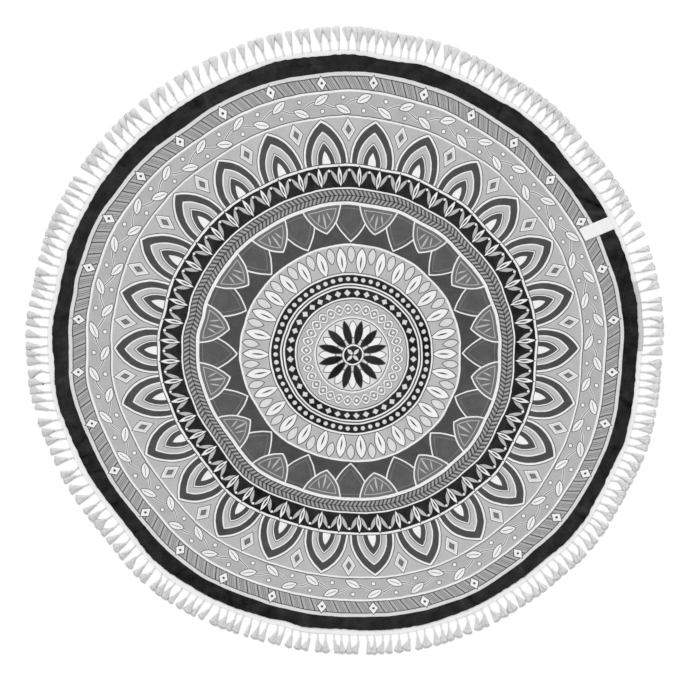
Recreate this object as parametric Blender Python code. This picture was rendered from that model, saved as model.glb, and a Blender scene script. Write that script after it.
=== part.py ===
"""A round beach towel with a tasselled edge, laid flat on a surface.

The cloth is one thick velour disc whose edge is turned under and runs a little out of round.
A flat tape is sewn under that edge all the way round, and a row of tassels grows out of it.
A bare woven label lies across the edge at one place and ends on the tape.

Bearings are in degrees, clockwise from +Y as seen from above, so +X is at 90.
Lengths are in metres. The towel lies on z = 0, with its middle at the origin.
"""

import math
from typing import NamedTuple

import bmesh
import bpy
from mathutils import Vector

MM = 0.001

# The cloth
EDGE_RADIUS = 684 * MM  # mean radius of the turned edge
CLOTH_THICKNESS = 3.2 * MM
HEM_TOP = 5.2 * MM
CLOTH_STEPS = 180  # facets round the disc

# The tape under the edge
TAPE_THICKNESS = 1.2 * MM
TAPE_HIDDEN = 8 * MM  # how far it reaches in under the hem
TAPE_SHOWN = 13 * MM  # how far it shows outside the hem
TAPE_CLEARANCE = 0.5 * MM  # between the tape and the hem above it

# The tassels
TASSEL_ROOT_WIDTH = 3.2 * MM
KNOT_WIDTH = 6.4 * MM
NECK_LENGTH = 17.5 * MM  # from the tape to the knot
FAN_LENGTH = 31.5 * MM  # from the knot to the cut tip
FAN_TIP_RADIUS = 744 * MM  # about how far out the tips lie
FAN_CORNER_SHARE = 0.9  # how far each corner goes from the knot towards its place in the photo
TOUCHING_TURN = 0.12  # degrees between two tips that touch
LONGER_SIDE_BEARING = 345  # where the tassels are longest
LONGER_SIDE_SHARE = 0.11

# The label
LABEL_BEARING = 65.2
LABEL_WIDTH = 32 * MM
LABEL_REACH = 77 * MM  # from the cloth's edge inwards
LABEL_THICKNESS = 0.8 * MM
LABEL_CLEARANCE = 0.6 * MM

# The edge drifts in and out of round over this ring of the cloth, and is rigid outside it
DRIFT_STARTS = 300 * MM
DRIFT_ENDS = EDGE_RADIUS - 60 * MM

# The hem is ruffled a little more than the cloth within it, and the tape outside it less
RUFFLE_STARTS = EDGE_RADIUS - 60 * MM
RUFFLE_ENDS = EDGE_RADIUS - 10 * MM
RUFFLE_LOST_IN_TAPE = 0.6

# The cloth's rim lifts off the surface over this ring
LIFT_STARTS = EDGE_RADIUS - 95 * MM
LIFT_ENDS = EDGE_RADIUS - 25 * MM


class Swell(NamedTuple):
    """A smooth rise and fall along the edge."""

    bearing: float
    height: float
    spread: float  # degrees to either side


EDGE_SWELLS = (
    Swell(bearing=12, height=-7 * MM, spread=14),
    Swell(bearing=31, height=-8 * MM, spread=14),
    Swell(bearing=50, height=-8 * MM, spread=12),
    Swell(bearing=67, height=5 * MM, spread=8),
    Swell(bearing=80, height=5 * MM, spread=12),
    Swell(bearing=88.5, height=3.4 * MM, spread=6),
    Swell(bearing=110, height=8 * MM, spread=18),
    Swell(bearing=130, height=12 * MM, spread=15),
    Swell(bearing=142.5, height=2.8 * MM, spread=6),
    Swell(bearing=151, height=5 * MM, spread=18),
    Swell(bearing=182, height=-9 * MM, spread=16),
    Swell(bearing=198, height=-11 * MM, spread=18),
    Swell(bearing=232, height=-10 * MM, spread=15),
    Swell(bearing=264, height=12 * MM, spread=18),
    Swell(bearing=274, height=6 * MM, spread=7.5),
    Swell(bearing=290, height=10 * MM, spread=20),
    Swell(bearing=310, height=5 * MM, spread=16),
    Swell(bearing=334, height=-2 * MM, spread=12),
)

HEM_RUFFLES = (
    Swell(bearing=7, height=-2 * MM, spread=5),
    Swell(bearing=14.8, height=4 * MM, spread=4.5),
    Swell(bearing=22, height=-2.6 * MM, spread=5),
    Swell(bearing=35.6, height=3 * MM, spread=3.8),
    Swell(bearing=46.5, height=2.6 * MM, spread=4.5),
    Swell(bearing=65.4, height=-3.4 * MM, spread=5.5),
    Swell(bearing=73.6, height=3.2 * MM, spread=4),
    Swell(bearing=82.2, height=2.8 * MM, spread=3.5),
    Swell(bearing=109.6, height=3 * MM, spread=3),
    Swell(bearing=120, height=2.4 * MM, spread=5),
    Swell(bearing=126, height=3.6 * MM, spread=4),
    Swell(bearing=131.5, height=2.2 * MM, spread=5),
    Swell(bearing=164, height=1.8 * MM, spread=6),
    Swell(bearing=181, height=-2 * MM, spread=4),
    Swell(bearing=188.5, height=2.2 * MM, spread=3),
    Swell(bearing=192.8, height=-3 * MM, spread=3),
    Swell(bearing=202.5, height=1.8 * MM, spread=5),
    Swell(bearing=213.5, height=-3.2 * MM, spread=6),
    Swell(bearing=223.5, height=2.4 * MM, spread=5),
    Swell(bearing=252, height=1.5 * MM, spread=5),
    Swell(bearing=257.6, height=3 * MM, spread=5),
    Swell(bearing=265.8, height=-3.4 * MM, spread=4),
    Swell(bearing=285.7, height=-2.2 * MM, spread=4),
    Swell(bearing=302.5, height=2.2 * MM, spread=5),
    Swell(bearing=309.5, height=1.8 * MM, spread=4.5),
    Swell(bearing=346, height=2.2 * MM, spread=5),
    Swell(bearing=355, height=-2.2 * MM, spread=5),
)

RIM_LIFTS = (
    Swell(bearing=16, height=1.5 * MM, spread=6),
    Swell(bearing=33, height=2.0 * MM, spread=5),
    Swell(bearing=57, height=2.2 * MM, spread=5),
    Swell(bearing=103, height=1.5 * MM, spread=6),
    Swell(bearing=125, height=2.2 * MM, spread=6),
    Swell(bearing=155, height=2.0 * MM, spread=5),
    Swell(bearing=188, height=1.5 * MM, spread=6),
    Swell(bearing=217, height=1.5 * MM, spread=6),
    Swell(bearing=246, height=2.5 * MM, spread=8),
    Swell(bearing=286, height=2.0 * MM, spread=6),
    Swell(bearing=329, height=2.5 * MM, spread=6),
    Swell(bearing=345, height=1.2 * MM, spread=7),
)


class Tassel(NamedTuple):
    """One tassel as it lies: the bearings of its root, its knot and the corners of its tip."""

    root: float
    knot: float
    left: float
    right: float


TASSEL_ROWS = (
    # root, knot, left corner, right corner, each in degrees
    (0.3, 0.25, -0.95, 0.85), (1.95, 1.8, 0.85, 2), (2.35, 2.4, 2, 3.2), (3.95, 3.95, 3.2, 4.9),
    (5.55, 5.55, 4.95, 6.35), (7.15, 7.3, 6.35, 7.7), (8.85, 8.75, 7.75, 9.45),
    (10.6, 10.5, 9.55, 11.05), (12.15, 11.9, 11.05, 12.6), (13.65, 13.4, 12.7, 14.1),
    (15.45, 15.55, 14.35, 15.95), (17.15, 17, 16.05, 17.4), (19.05, 19, 17.95, 19.7),
    (20.75, 20.5, 19.7, 21.05), (22.7, 22.1, 21.2, 23.5), (24.35, 24.15, 23.6, 24.95),
    (25.75, 25.8, 24.95, 26.45), (27.4, 27.35, 26.55, 28.2), (29.05, 29.1, 28.25, 29.75),
    (31, 30.65, 29.75, 31.5), (32.65, 32.4, 31.55, 33.5), (34.15, 34.05, 33.6, 35),
    (36.05, 36, 35.05, 36.5), (37.75, 37.7, 36.5, 38.5), (39.4, 39.3, 38.6, 40),
    (41.15, 41.15, 40.05, 41.75), (42.75, 42.8, 41.8, 43.2), (44.45, 44.45, 43.25, 45),
    (46.35, 46.25, 45.05, 47), (48.3, 48, 47.05, 48.75), (50.2, 50.1, 49.25, 50.7),
    (52.05, 51.95, 50.75, 52.4), (53.65, 53.6, 52.45, 54), (55.2, 55, 54.05, 55.5),
    (57.15, 57.05, 56.1, 58), (59.15, 59.4, 58.05, 59.65), (61.1, 61.05, 59.75, 61.35),
    (63.05, 62.65, 61.4, 62.95), (64.85, 64.3, 63, 64.1), (66.75, 66.1, 64.35, 65.6),
    (68.65, 68.2, 66.95, 68.1), (70.45, 70.05, 68.95, 69.95), (72.2, 72.25, 71.75, 73),
    (74.1, 74, 73.3, 74.45), (76.05, 76.1, 74.9, 76.45), (77.95, 77.6, 77.05, 78.3),
    (79.9, 79.65, 78.35, 79.85), (81.85, 82.05, 81.3, 82.45), (83.45, 83.35, 82.6, 84.1),
    (85.2, 85.1, 84.85, 86.05), (86.7, 86.7, 86.1, 87.2), (88.45, 88.4, 87.25, 88.7),
    (90.25, 90.1, 88.95, 90.1), (92.1, 91.8, 90.3, 92.1), (93.8, 93.6, 92.65, 94.75),
    (95.35, 95.35, 94.8, 95.95), (96.9, 96.9, 96, 97.3), (98.4, 98.2, 97.35, 98.8),
    (100.05, 99.85, 98.85, 100.05), (101.5, 101.15, 100.1, 101.65),
    (103.55, 103.15, 101.95, 103.45), (105.15, 104.85, 103.6, 105.1),
    (106.45, 106.1, 105.15, 106.5), (108.2, 108, 106.65, 108.45), (109.75, 109.5, 108.5, 109.85),
    (111.2, 111.05, 110.5, 112.1), (112.8, 112.75, 112.15, 113.9), (114.35, 114.25, 114, 115.1),
    (115.95, 115.9, 115.15, 116.3), (117.3, 116.8, 116.35, 117.85), (118.95, 118.75, 117.85, 119.4),
    (120.4, 120.1, 119.4, 120.8), (122.15, 121.8, 121, 122.4), (123.7, 123.3, 122.45, 124.1),
    (125.25, 125.15, 124.55, 125.8), (126.4, 126.3, 125.85, 127.5), (128.05, 128.05, 128, 129.05),
    (129.5, 129.5, 129.1, 130.55), (131.25, 131.15, 131.25, 132.3), (132.9, 132.9, 132.3, 133.8),
    (134.5, 134.5, 133.85, 135.35), (136.15, 136.05, 135.65, 137.25),
    (137.8, 137.75, 137.35, 138.7), (139.4, 139.4, 138.8, 140.1), (141.2, 141.3, 140.4, 141.9),
    (142.75, 142.6, 142, 143.45), (144.55, 144.65, 143.5, 145), (146.35, 146.05, 145.05, 146.75),
    (148.05, 147.85, 147, 148.9), (149.75, 149.6, 148.95, 150.4), (151.5, 151.6, 150.45, 152.1),
    (153.15, 153.1, 153.05, 154.45), (154.7, 154.65, 154.5, 156.05), (156.25, 156.45, 156.5, 158.1),
    (158.15, 158.4, 158.35, 159.95), (159.9, 160.25, 160.05, 161.3), (161.5, 161.6, 161.35, 162.6),
    (163.05, 163.05, 162.65, 163.95), (164.75, 165, 164.1, 166.1), (166.35, 166.4, 166.1, 167.35),
    (168, 168.1, 168.2, 169.65), (169.75, 170, 169.75, 171.3), (171.45, 171.65, 171.6, 173),
    (173, 173.1, 173.15, 174.5), (174.65, 174.65, 174.55, 175.4), (176.1, 175.9, 175.45, 176.5),
    (177.85, 177.8, 177.95, 179), (179.55, 179.5, 179.05, 180.3), (181.1, 181.05, 180.35, 181.45),
    (182.6, 182.4, 181.5, 182.3), (184.2, 184.15, 183.15, 184.6), (185.8, 185.65, 184.65, 186),
    (187.45, 187.3, 187.25, 188.6), (189.25, 189, 188.65, 190.05), (190.8, 190.75, 190.3, 191.7),
    (192.35, 192.45, 192.55, 193.6), (193.85, 193.65, 193.6, 195.05),
    (195.7, 195.9, 195.55, 196.95), (197.35, 197.35, 197, 198.3), (199.2, 199, 198.65, 199.6),
    (200.8, 200.95, 200.5, 202), (202.35, 202.2, 202.05, 203.2), (204.05, 203.9, 203.2, 204.75),
    (205.75, 205.5, 204.8, 206.5), (207.3, 207.5, 207.6, 208.85), (209.1, 209.35, 209.15, 210.05),
    (210.6, 210.8, 210.1, 211.85), (212.25, 212.3, 212, 213.4), (214, 214.15, 213.9, 215),
    (215.7, 215.9, 215.05, 216.3), (217.3, 217.15, 216.4, 217.9), (219, 218.4, 217.95, 219.2),
    (220.75, 220.55, 220.15, 221.85), (222.6, 222.45, 221.95, 223.2), (224.45, 224.7, 223.6, 225.4),
    (226.4, 226.35, 226, 227.5), (228.2, 228, 227.7, 229.5), (230.05, 230.05, 229.65, 231.2),
    (231.85, 231.8, 231.5, 233), (233.85, 233.95, 233.05, 234.95), (235.8, 235.8, 235, 236.45),
    (237.7, 237.4, 236.65, 238.1), (239.65, 239.5, 239, 240.95), (241.55, 241.65, 241.25, 243.1),
    (243.7, 244, 243.45, 244.45), (245.5, 245, 244.5, 246.1), (247.4, 247.65, 247.2, 249),
    (249.3, 249.5, 249.3, 250.7), (251.4, 251.8, 251.15, 253), (253.35, 253.5, 253.05, 254.6),
    (255.35, 255.5, 254.75, 256.5), (257.15, 257.65, 258.15, 259.2), (259.1, 259.45, 259.35, 260.8),
    (260.85, 261, 260.95, 262.3), (262.6, 262.75, 262.35, 263.75), (264.45, 265, 263.8, 265.35),
    (266.3, 266.6, 266.05, 267.75), (268, 268.05, 267.8, 268.95), (269.75, 269.55, 269, 270.5),
    (271.35, 271.4, 271.1, 272.7), (273.3, 273.3, 273.35, 274.6), (275.1, 275.1, 274.7, 276.05),
    (276.8, 276.8, 276.85, 278), (278.45, 278.6, 278.65, 280.05), (280.1, 280.25, 280.2, 281.2),
    (281.55, 281.35, 281.2, 282.35), (283.4, 283.1, 282.4, 284.1), (285.05, 285.15, 285.2, 286.5),
    (286.75, 286.8, 287, 288.35), (288.35, 288.5, 288.45, 289.75), (289.95, 290.25, 289.8, 291.2),
    (291.75, 292.1, 291.3, 292.8), (293.35, 293.35, 292.85, 294.35), (295, 294.95, 294.4, 296.3),
    (296.75, 296.8, 296.9, 297.95), (298.3, 298.65, 298.1, 299), (300.15, 300, 299.5, 300.65),
    (301.95, 301.8, 300.85, 301.75), (303.75, 303.9, 303.45, 305), (305.55, 305.55, 305.05, 306.7),
    (307.3, 307.3, 306.75, 308.05), (308.85, 308.5, 308.1, 309.65), (310.6, 310.85, 310.6, 311.9),
    (312.45, 312.6, 312.35, 314.1), (314.2, 314.2, 314.2, 315.55), (316.05, 316, 315.6, 316.6),
    (318.1, 317.55, 316.6, 318), (319.75, 319.75, 319, 320.9), (321.65, 321.8, 321.65, 323.05),
    (323.45, 323.3, 323.15, 324.6), (325.05, 325.2, 325.05, 325.75),
    (327.05, 327.15, 326.75, 328.6), (328.85, 329.15, 328.7, 329.85),
    (330.8, 330.8, 330.75, 331.85), (332.7, 332.8, 332.85, 334), (334.65, 334.5, 334.05, 335.75),
    (336.4, 336.45, 336.4, 337.85), (338.3, 338.2, 338.15, 339.3), (340.2, 340.15, 339.65, 341.1),
    (342.3, 342.2, 341.55, 343), (344.1, 343.95, 343.1, 344.7), (346.05, 346, 345.15, 346.75),
    (347.75, 347.6, 346.8, 348.25), (349.4, 349.4, 348.65, 349.95), (351.3, 351.4, 350.35, 351.9),
    (353, 352.95, 351.95, 353.15), (355.05, 354.95, 353.75, 355.6), (356.8, 356.65, 355.65, 357.05),
    (358.4, 358.45, 357.2, 358.65),
)
TASSELS = tuple(Tassel(*row) for row in TASSEL_ROWS)


class Station(NamedTuple):
    """One point of a cross-section: how far in from the cloth's edge, and how high."""

    inward: float
    height: float


HEM_UNDERSIDE = TAPE_THICKNESS + TAPE_CLEARANCE

CLOTH_FACE = (
    Station(inward=EDGE_RADIUS - 300 * MM, height=CLOTH_THICKNESS),
    Station(inward=160 * MM, height=CLOTH_THICKNESS),
    Station(inward=85 * MM, height=CLOTH_THICKNESS),
    Station(inward=50 * MM, height=CLOTH_THICKNESS),
    Station(inward=28 * MM, height=CLOTH_THICKNESS + 0.3 * MM),
    Station(inward=19 * MM, height=HEM_TOP - 0.4 * MM),
    Station(inward=6 * MM, height=HEM_TOP),
    Station(inward=1.6 * MM, height=HEM_TOP - 0.7 * MM),
)
CLOTH_EDGE = Station(inward=0, height=HEM_TOP - 2.0 * MM)
CLOTH_UNDERSIDE = (
    Station(inward=1.4 * MM, height=HEM_UNDERSIDE + 0.2 * MM),
    Station(inward=13 * MM, height=HEM_UNDERSIDE),
    Station(inward=22 * MM, height=0),
    Station(inward=50 * MM, height=0),
    Station(inward=95 * MM, height=0),
)


class Section(NamedTuple):
    """One four-cornered section of a tassel's fan."""

    share: float  # of the way from the knot to the tip
    free_spread: float  # how far a free side has gone from the knot to its corner
    touching_spread: float  # the same for a side that touches its neighbour
    height: float


NECK_END_HEIGHT = 2.6 * MM
NECK_END_BEFORE_KNOT = 1.5 * MM
FAN_SECTIONS = (
    Section(share=0.08, free_spread=0, touching_spread=0, height=5.0 * MM),  # wrapped knot
    Section(share=0.53, free_spread=0.55, touching_spread=0.9, height=5.5 * MM),
    Section(share=1, free_spread=1, touching_spread=1, height=4.0 * MM),  # cut end
)


def smooth_step(low, high, value):
    share = min(max((value - low) / (high - low), 0), 1)
    return share * share * (3 - 2 * share)


def turn_between(bearing, other):
    """The signed turn from one bearing to another, at most half a turn either way."""
    return (bearing - other + 180) % 360 - 180


def swell_at(swells, bearing):
    """The sum of the swells at a bearing, each falling to nothing at its spread."""
    total = 0
    for swell in swells:
        share = abs(turn_between(bearing, swell.bearing)) / swell.spread
        if share < 1:
            total += swell.height * math.cos(share * math.pi / 2) ** 2
    return total


def outward(bearing):
    angle = math.radians(bearing)
    return Vector((math.sin(angle), math.cos(angle), 0))


def laid(bearing, radius, height):
    """Where a point of the perfectly round, flat towel comes to lie."""
    drift = swell_at(EDGE_SWELLS, bearing) * smooth_step(DRIFT_STARTS, DRIFT_ENDS, radius)
    ruffle = swell_at(HEM_RUFFLES, bearing) * smooth_step(RUFFLE_STARTS, RUFFLE_ENDS, radius)
    ruffle *= 1 - RUFFLE_LOST_IN_TAPE * smooth_step(EDGE_RADIUS, EDGE_RADIUS + TAPE_SHOWN, radius)
    lift = swell_at(RIM_LIFTS, bearing) * smooth_step(LIFT_STARTS, LIFT_ENDS, radius)
    place = outward(bearing) * (radius + drift + ruffle)
    place.z = height + lift
    return place


def ring(mesh, bearings, radius, height):
    return [mesh.verts.new(laid(bearing, radius, height)) for bearing in bearings]


def bridge(mesh, first, second):
    """Faces between two closed loops of as many points."""
    for a, b, c, d in zip(first, first[1:] + first[:1], second[1:] + second[:1], second):
        mesh.faces.new((a, b, c, d))


def finish_object(name, mesh, material, collection):
    """Turns the mesh's faces outwards and makes it a named object."""
    bmesh.ops.recalc_face_normals(mesh, faces=mesh.faces)
    data = bpy.data.meshes.new(name)
    mesh.to_mesh(data)
    mesh.free()
    data.shade_smooth()
    data.set_sharp_from_angle(angle=math.radians(35))
    data.materials.append(material)
    made = bpy.data.objects.new(name, data)
    collection.objects.link(made)
    return made


def make_cloth():
    """The disc: rings from the middle of its face, over the hem, to its flat underside."""
    mesh = bmesh.new()
    bearings = [360 * step / CLOTH_STEPS for step in range(CLOTH_STEPS)]
    stations = (*CLOTH_FACE, CLOTH_EDGE, *CLOTH_UNDERSIDE)
    rings = [ring(mesh, bearings, EDGE_RADIUS - at.inward, at.height) for at in stations]
    for first, second in zip(rings, rings[1:]):
        bridge(mesh, first, second)
    middle = mesh.verts.new((0, 0, CLOTH_THICKNESS))
    for first, second in zip(rings[0], rings[0][1:] + rings[0][:1]):
        mesh.faces.new((middle, first, second))
    mesh.faces.new(rings[-1])
    return mesh


def half_turn(width, radius):
    """Half of a width, as degrees at a radius."""
    return math.degrees(width / 2 / radius)


def reach_out(length, turn, radius):
    """How far out a strand gets if it also goes sideways by some degrees at a radius."""
    sideways = math.radians(turn) * radius
    return math.sqrt(length**2 - sideways**2)


def how_long(tassel):
    """How many times its usual length a tassel has: they are longest on one side."""
    return 1 + LONGER_SIDE_SHARE * math.cos(math.radians(tassel.root - LONGER_SIDE_BEARING))


def knot_radius(tassel):
    """How far the knot lies from the towel's middle, on a neck that may lean."""
    start = laid(tassel.root, EDGE_RADIUS + TAPE_SHOWN, 0).xy.length
    lean = turn_between(tassel.knot, tassel.root)
    return start + reach_out(NECK_LENGTH * how_long(tassel), lean, start)


def fan_corner(tassel, side, section, touching):
    """A low corner of a fan's section, on the line from the knot's side to the tip's corner."""
    knot_out = knot_radius(tassel)
    seen = tassel.right if side > 0 else tassel.left
    corner = tassel.knot + FAN_CORNER_SHARE * (seen - tassel.knot)
    beside = tassel.knot + side * half_turn(KNOT_WIDTH, knot_out)
    spread = section.touching_spread if touching else section.free_spread
    length = FAN_LENGTH * how_long(tassel)
    out = section.share * reach_out(length, corner - tassel.knot, FAN_TIP_RADIUS)
    return outward(beside + (corner - beside) * spread) * (knot_out + out)


def tassel_loops(before, tassel, after):
    """The sections of a tassel past its root, each as two low corners and a height."""
    knot_out = knot_radius(tassel)
    half = half_turn(TASSEL_ROOT_WIDTH, knot_out)
    neck_out = knot_out - NECK_END_BEFORE_KNOT
    neck_end = [outward(tassel.knot + turn) * neck_out for turn in (-half, half)]
    touches_left = turn_between(tassel.left, before.right) < TOUCHING_TURN
    touches_right = turn_between(after.left, tassel.right) < TOUCHING_TURN
    loops = [(*neck_end, NECK_END_HEIGHT)]
    for section in FAN_SECTIONS:
        left = fan_corner(tassel, -1, section, touches_left)
        right = fan_corner(tassel, 1, section, touches_right)
        loops.append((left, right, section.height))
    return loops


def add_tassel(mesh, root, sections):
    """One tassel on the tape's wall, four-cornered and level on the surface to its tip."""
    loops = [root]
    for left, right, height in sections:
        top = Vector((0, 0, height))
        corners = (left, right, right + top, left + top)
        loops.append([mesh.verts.new(corner) for corner in corners])
    for first, second in zip(loops, loops[1:]):
        bridge(mesh, first, second)
    mesh.faces.new(loops[-1])


def make_tassel_trim():
    """The tape, a flat band under the hem, with every tassel growing from its outer wall."""
    mesh = bmesh.new()
    outer, inner = EDGE_RADIUS + TAPE_SHOWN, EDGE_RADIUS - TAPE_HIDDEN
    half_root = half_turn(TASSEL_ROOT_WIDTH, outer)
    sides = [tassel.root + turn for tassel in TASSELS for turn in (-half_root, half_root)]
    outer_low = ring(mesh, sides, outer, 0)
    outer_high = ring(mesh, sides, outer, TAPE_THICKNESS)
    inner_high = ring(mesh, sides, inner, TAPE_THICKNESS)
    inner_low = ring(mesh, sides, inner, 0)
    bridge(mesh, outer_high, inner_high)
    bridge(mesh, inner_high, inner_low)
    bridge(mesh, inner_low, outer_low)
    for index, tassel in enumerate(TASSELS):
        left, right = 2 * index, 2 * index + 1
        following = (right + 1) % len(sides)
        mesh.faces.new(
            (outer_low[right], outer_low[following], outer_high[following], outer_high[right])
        )
        root = [outer_low[left], outer_low[right], outer_high[right], outer_high[left]]
        after = TASSELS[(index + 1) % len(TASSELS)]
        add_tassel(mesh, root, tassel_loops(TASSELS[index - 1], tassel, after))
    return mesh


def label_path():
    """The label's underside in (radius, height): over the face and hem, down to the tape."""
    face = [at for at in CLOTH_FACE if at.inward < LABEL_REACH]
    path = [(EDGE_RADIUS - LABEL_REACH, CLOTH_THICKNESS + LABEL_CLEARANCE)]
    path += [(EDGE_RADIUS - at.inward, at.height + LABEL_CLEARANCE) for at in face]
    beyond = EDGE_RADIUS + 1.5 * LABEL_CLEARANCE
    path.append((beyond, CLOTH_EDGE.height + LABEL_CLEARANCE))
    path.append((beyond, TAPE_THICKNESS + LABEL_CLEARANCE))
    return [Vector(point) for point in path]


def raised(path, distance):
    """The path moved square to itself, to the side that faces up and out."""
    moved = []
    for index, point in enumerate(path):
        run = path[min(index + 1, len(path) - 1)] - path[max(index - 1, 0)]
        moved.append(point + Vector((-run.y, run.x)).normalized() * distance)
    return moved


def make_label():
    """A strip laid over the edge, with parallel sides and the label's own thickness."""
    mesh = bmesh.new()
    under = label_path()
    over = raised(under, LABEL_THICKNESS)
    loops = []
    for low, high in zip(under, over):
        loop = []
        for side, (radius, height) in ((-1, low), (1, low), (1, high), (-1, high)):
            turn = side * math.degrees(LABEL_WIDTH / 2 / radius)
            loop.append(mesh.verts.new(laid(LABEL_BEARING + turn, radius, height)))
        loops.append(loop)
    for first, second in zip(loops, loops[1:]):
        bridge(mesh, first, second)
    mesh.faces.new(loops[0])
    mesh.faces.new(loops[-1])
    return mesh


def make_material(name, colour, roughness):
    material = bpy.data.materials.new(name)
    material.use_nodes = True
    surface = material.node_tree.nodes["Principled BSDF"]
    surface.inputs["Base Color"].default_value = (*colour, 1)
    surface.inputs["Roughness"].default_value = roughness
    surface.inputs["Metallic"].default_value = 0
    return material


def main():
    for old in list(bpy.data.objects):
        bpy.data.objects.remove(old)
    towel = bpy.data.collections.new("round_beach_towel")
    bpy.context.scene.collection.children.link(towel)
    velour = make_material("printed_velour", (0.22, 0.22, 0.22), 0.95)
    cotton = make_material("cotton_tape_and_yarn", (0.76, 0.76, 0.75), 0.9)
    woven = make_material("woven_label", (0.84, 0.84, 0.83), 0.7)
    finish_object("towel_cloth", make_cloth(), velour, towel)
    finish_object("tassel_trim", make_tassel_trim(), cotton, towel)
    finish_object("side_label", make_label(), woven, towel)


main()
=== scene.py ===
"""The looks of a round velour beach towel with a tasselled edge, laid flat on a pale floor.

The cloth, the tape with its tassels and the label take the places of their plain solids, and
repeat the sizes that those were built from. The print is a generic rosette of ringed borders.

Bearings are in degrees, clockwise from +Y as seen from above, so +X is at 90.
Lengths are in metres. The towel lies on z = 0, with its middle at the origin.
"""

import math
from typing import NamedTuple

import bpy
import numpy as np
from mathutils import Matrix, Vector


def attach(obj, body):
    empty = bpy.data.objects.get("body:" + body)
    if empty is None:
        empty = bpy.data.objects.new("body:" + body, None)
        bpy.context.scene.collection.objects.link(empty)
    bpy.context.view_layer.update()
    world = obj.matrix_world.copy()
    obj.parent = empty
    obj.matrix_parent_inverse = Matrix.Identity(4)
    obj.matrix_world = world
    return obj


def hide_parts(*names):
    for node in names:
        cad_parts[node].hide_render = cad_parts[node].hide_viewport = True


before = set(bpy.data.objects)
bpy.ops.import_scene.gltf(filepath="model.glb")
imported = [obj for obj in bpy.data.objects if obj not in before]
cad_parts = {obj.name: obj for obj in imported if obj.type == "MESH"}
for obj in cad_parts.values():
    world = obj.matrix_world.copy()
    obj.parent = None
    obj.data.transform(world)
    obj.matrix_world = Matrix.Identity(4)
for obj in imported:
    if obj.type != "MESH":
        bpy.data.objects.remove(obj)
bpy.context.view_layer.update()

MM = 0.001

# ---------------------------------------------------------------- sizes that the solids share

EDGE_RADIUS = 684 * MM
CLOTH_THICKNESS = 3.2 * MM
HEM_TOP = 5.2 * MM
TAPE_THICKNESS = 1.2 * MM
TAPE_HIDDEN = 8 * MM
TAPE_SHOWN = 13 * MM
HEM_UNDERSIDE = TAPE_THICKNESS + 0.5 * MM

NECK_LENGTH = 17.5 * MM
FAN_LENGTH = 31.5 * MM
FAN_TIP_RADIUS = 744 * MM
TOUCHING_TURN = 0.12
LONGER_SIDE_BEARING = 345
LONGER_SIDE_SHARE = 0.11

LABEL_BEARING = 65.2
LABEL_WIDTH = 32 * MM
LABEL_REACH = 77 * MM

DRIFT_STARTS = 300 * MM
DRIFT_ENDS = EDGE_RADIUS - 60 * MM
RUFFLE_STARTS = EDGE_RADIUS - 60 * MM
RUFFLE_ENDS = EDGE_RADIUS - 10 * MM
RUFFLE_LOST_IN_TAPE = 0.6
LIFT_STARTS = EDGE_RADIUS - 95 * MM
LIFT_ENDS = EDGE_RADIUS - 25 * MM


class Swell(NamedTuple):
    """A smooth rise and fall along the edge."""

    bearing: float
    height: float
    spread: float  # degrees to either side


def swells(*rows, scale=MM):
    """Swells from rows of a bearing, a height in millimetres or another scale, and a spread."""
    return tuple(Swell(bearing, height * scale, spread) for bearing, height, spread in rows)


EDGE_SWELLS = swells(
    (12, -7, 14), (31, -8, 14), (50, -8, 12), (67, 5, 8), (80, 5, 12), (88.5, 3.4, 6), (110, 8, 18),
    (130, 12, 15), (142.5, 2.8, 6), (151, 5, 18), (182, -9, 16), (198, -11, 18), (232, -10, 15),
    (264, 12, 18), (274, 6, 7.5), (290, 10, 20), (310, 5, 16), (334, -2, 12),
)
HEM_RUFFLES = swells(
    (7, -2, 5), (14.8, 4, 4.5), (22, -2.6, 5), (35.6, 3, 3.8), (46.5, 2.6, 4.5), (65.4, -3.4, 5.5),
    (73.6, 3.2, 4), (82.2, 2.8, 3.5), (109.6, 3, 3), (120, 2.4, 5), (126, 3.6, 4), (131.5, 2.2, 5),
    (164, 1.8, 6), (181, -2, 4), (188.5, 2.2, 3), (192.8, -3, 3), (202.5, 1.8, 5), (213.5, -3.2, 6),
    (223.5, 2.4, 5), (252, 1.5, 5), (257.6, 3, 5), (265.8, -3.4, 4), (285.7, -2.2, 4),
    (302.5, 2.2, 5), (309.5, 1.8, 4.5), (346, 2.2, 5), (355, -2.2, 5),
)
RIM_LIFTS = swells(
    (16, 1.5, 6), (33, 2, 5), (57, 2.2, 5), (103, 1.5, 6), (125, 2.2, 6), (155, 2, 5),
    (188, 1.5, 6), (217, 1.5, 6), (246, 2.5, 8), (286, 2, 6), (329, 2.5, 6), (345, 1.2, 7),
)

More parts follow.
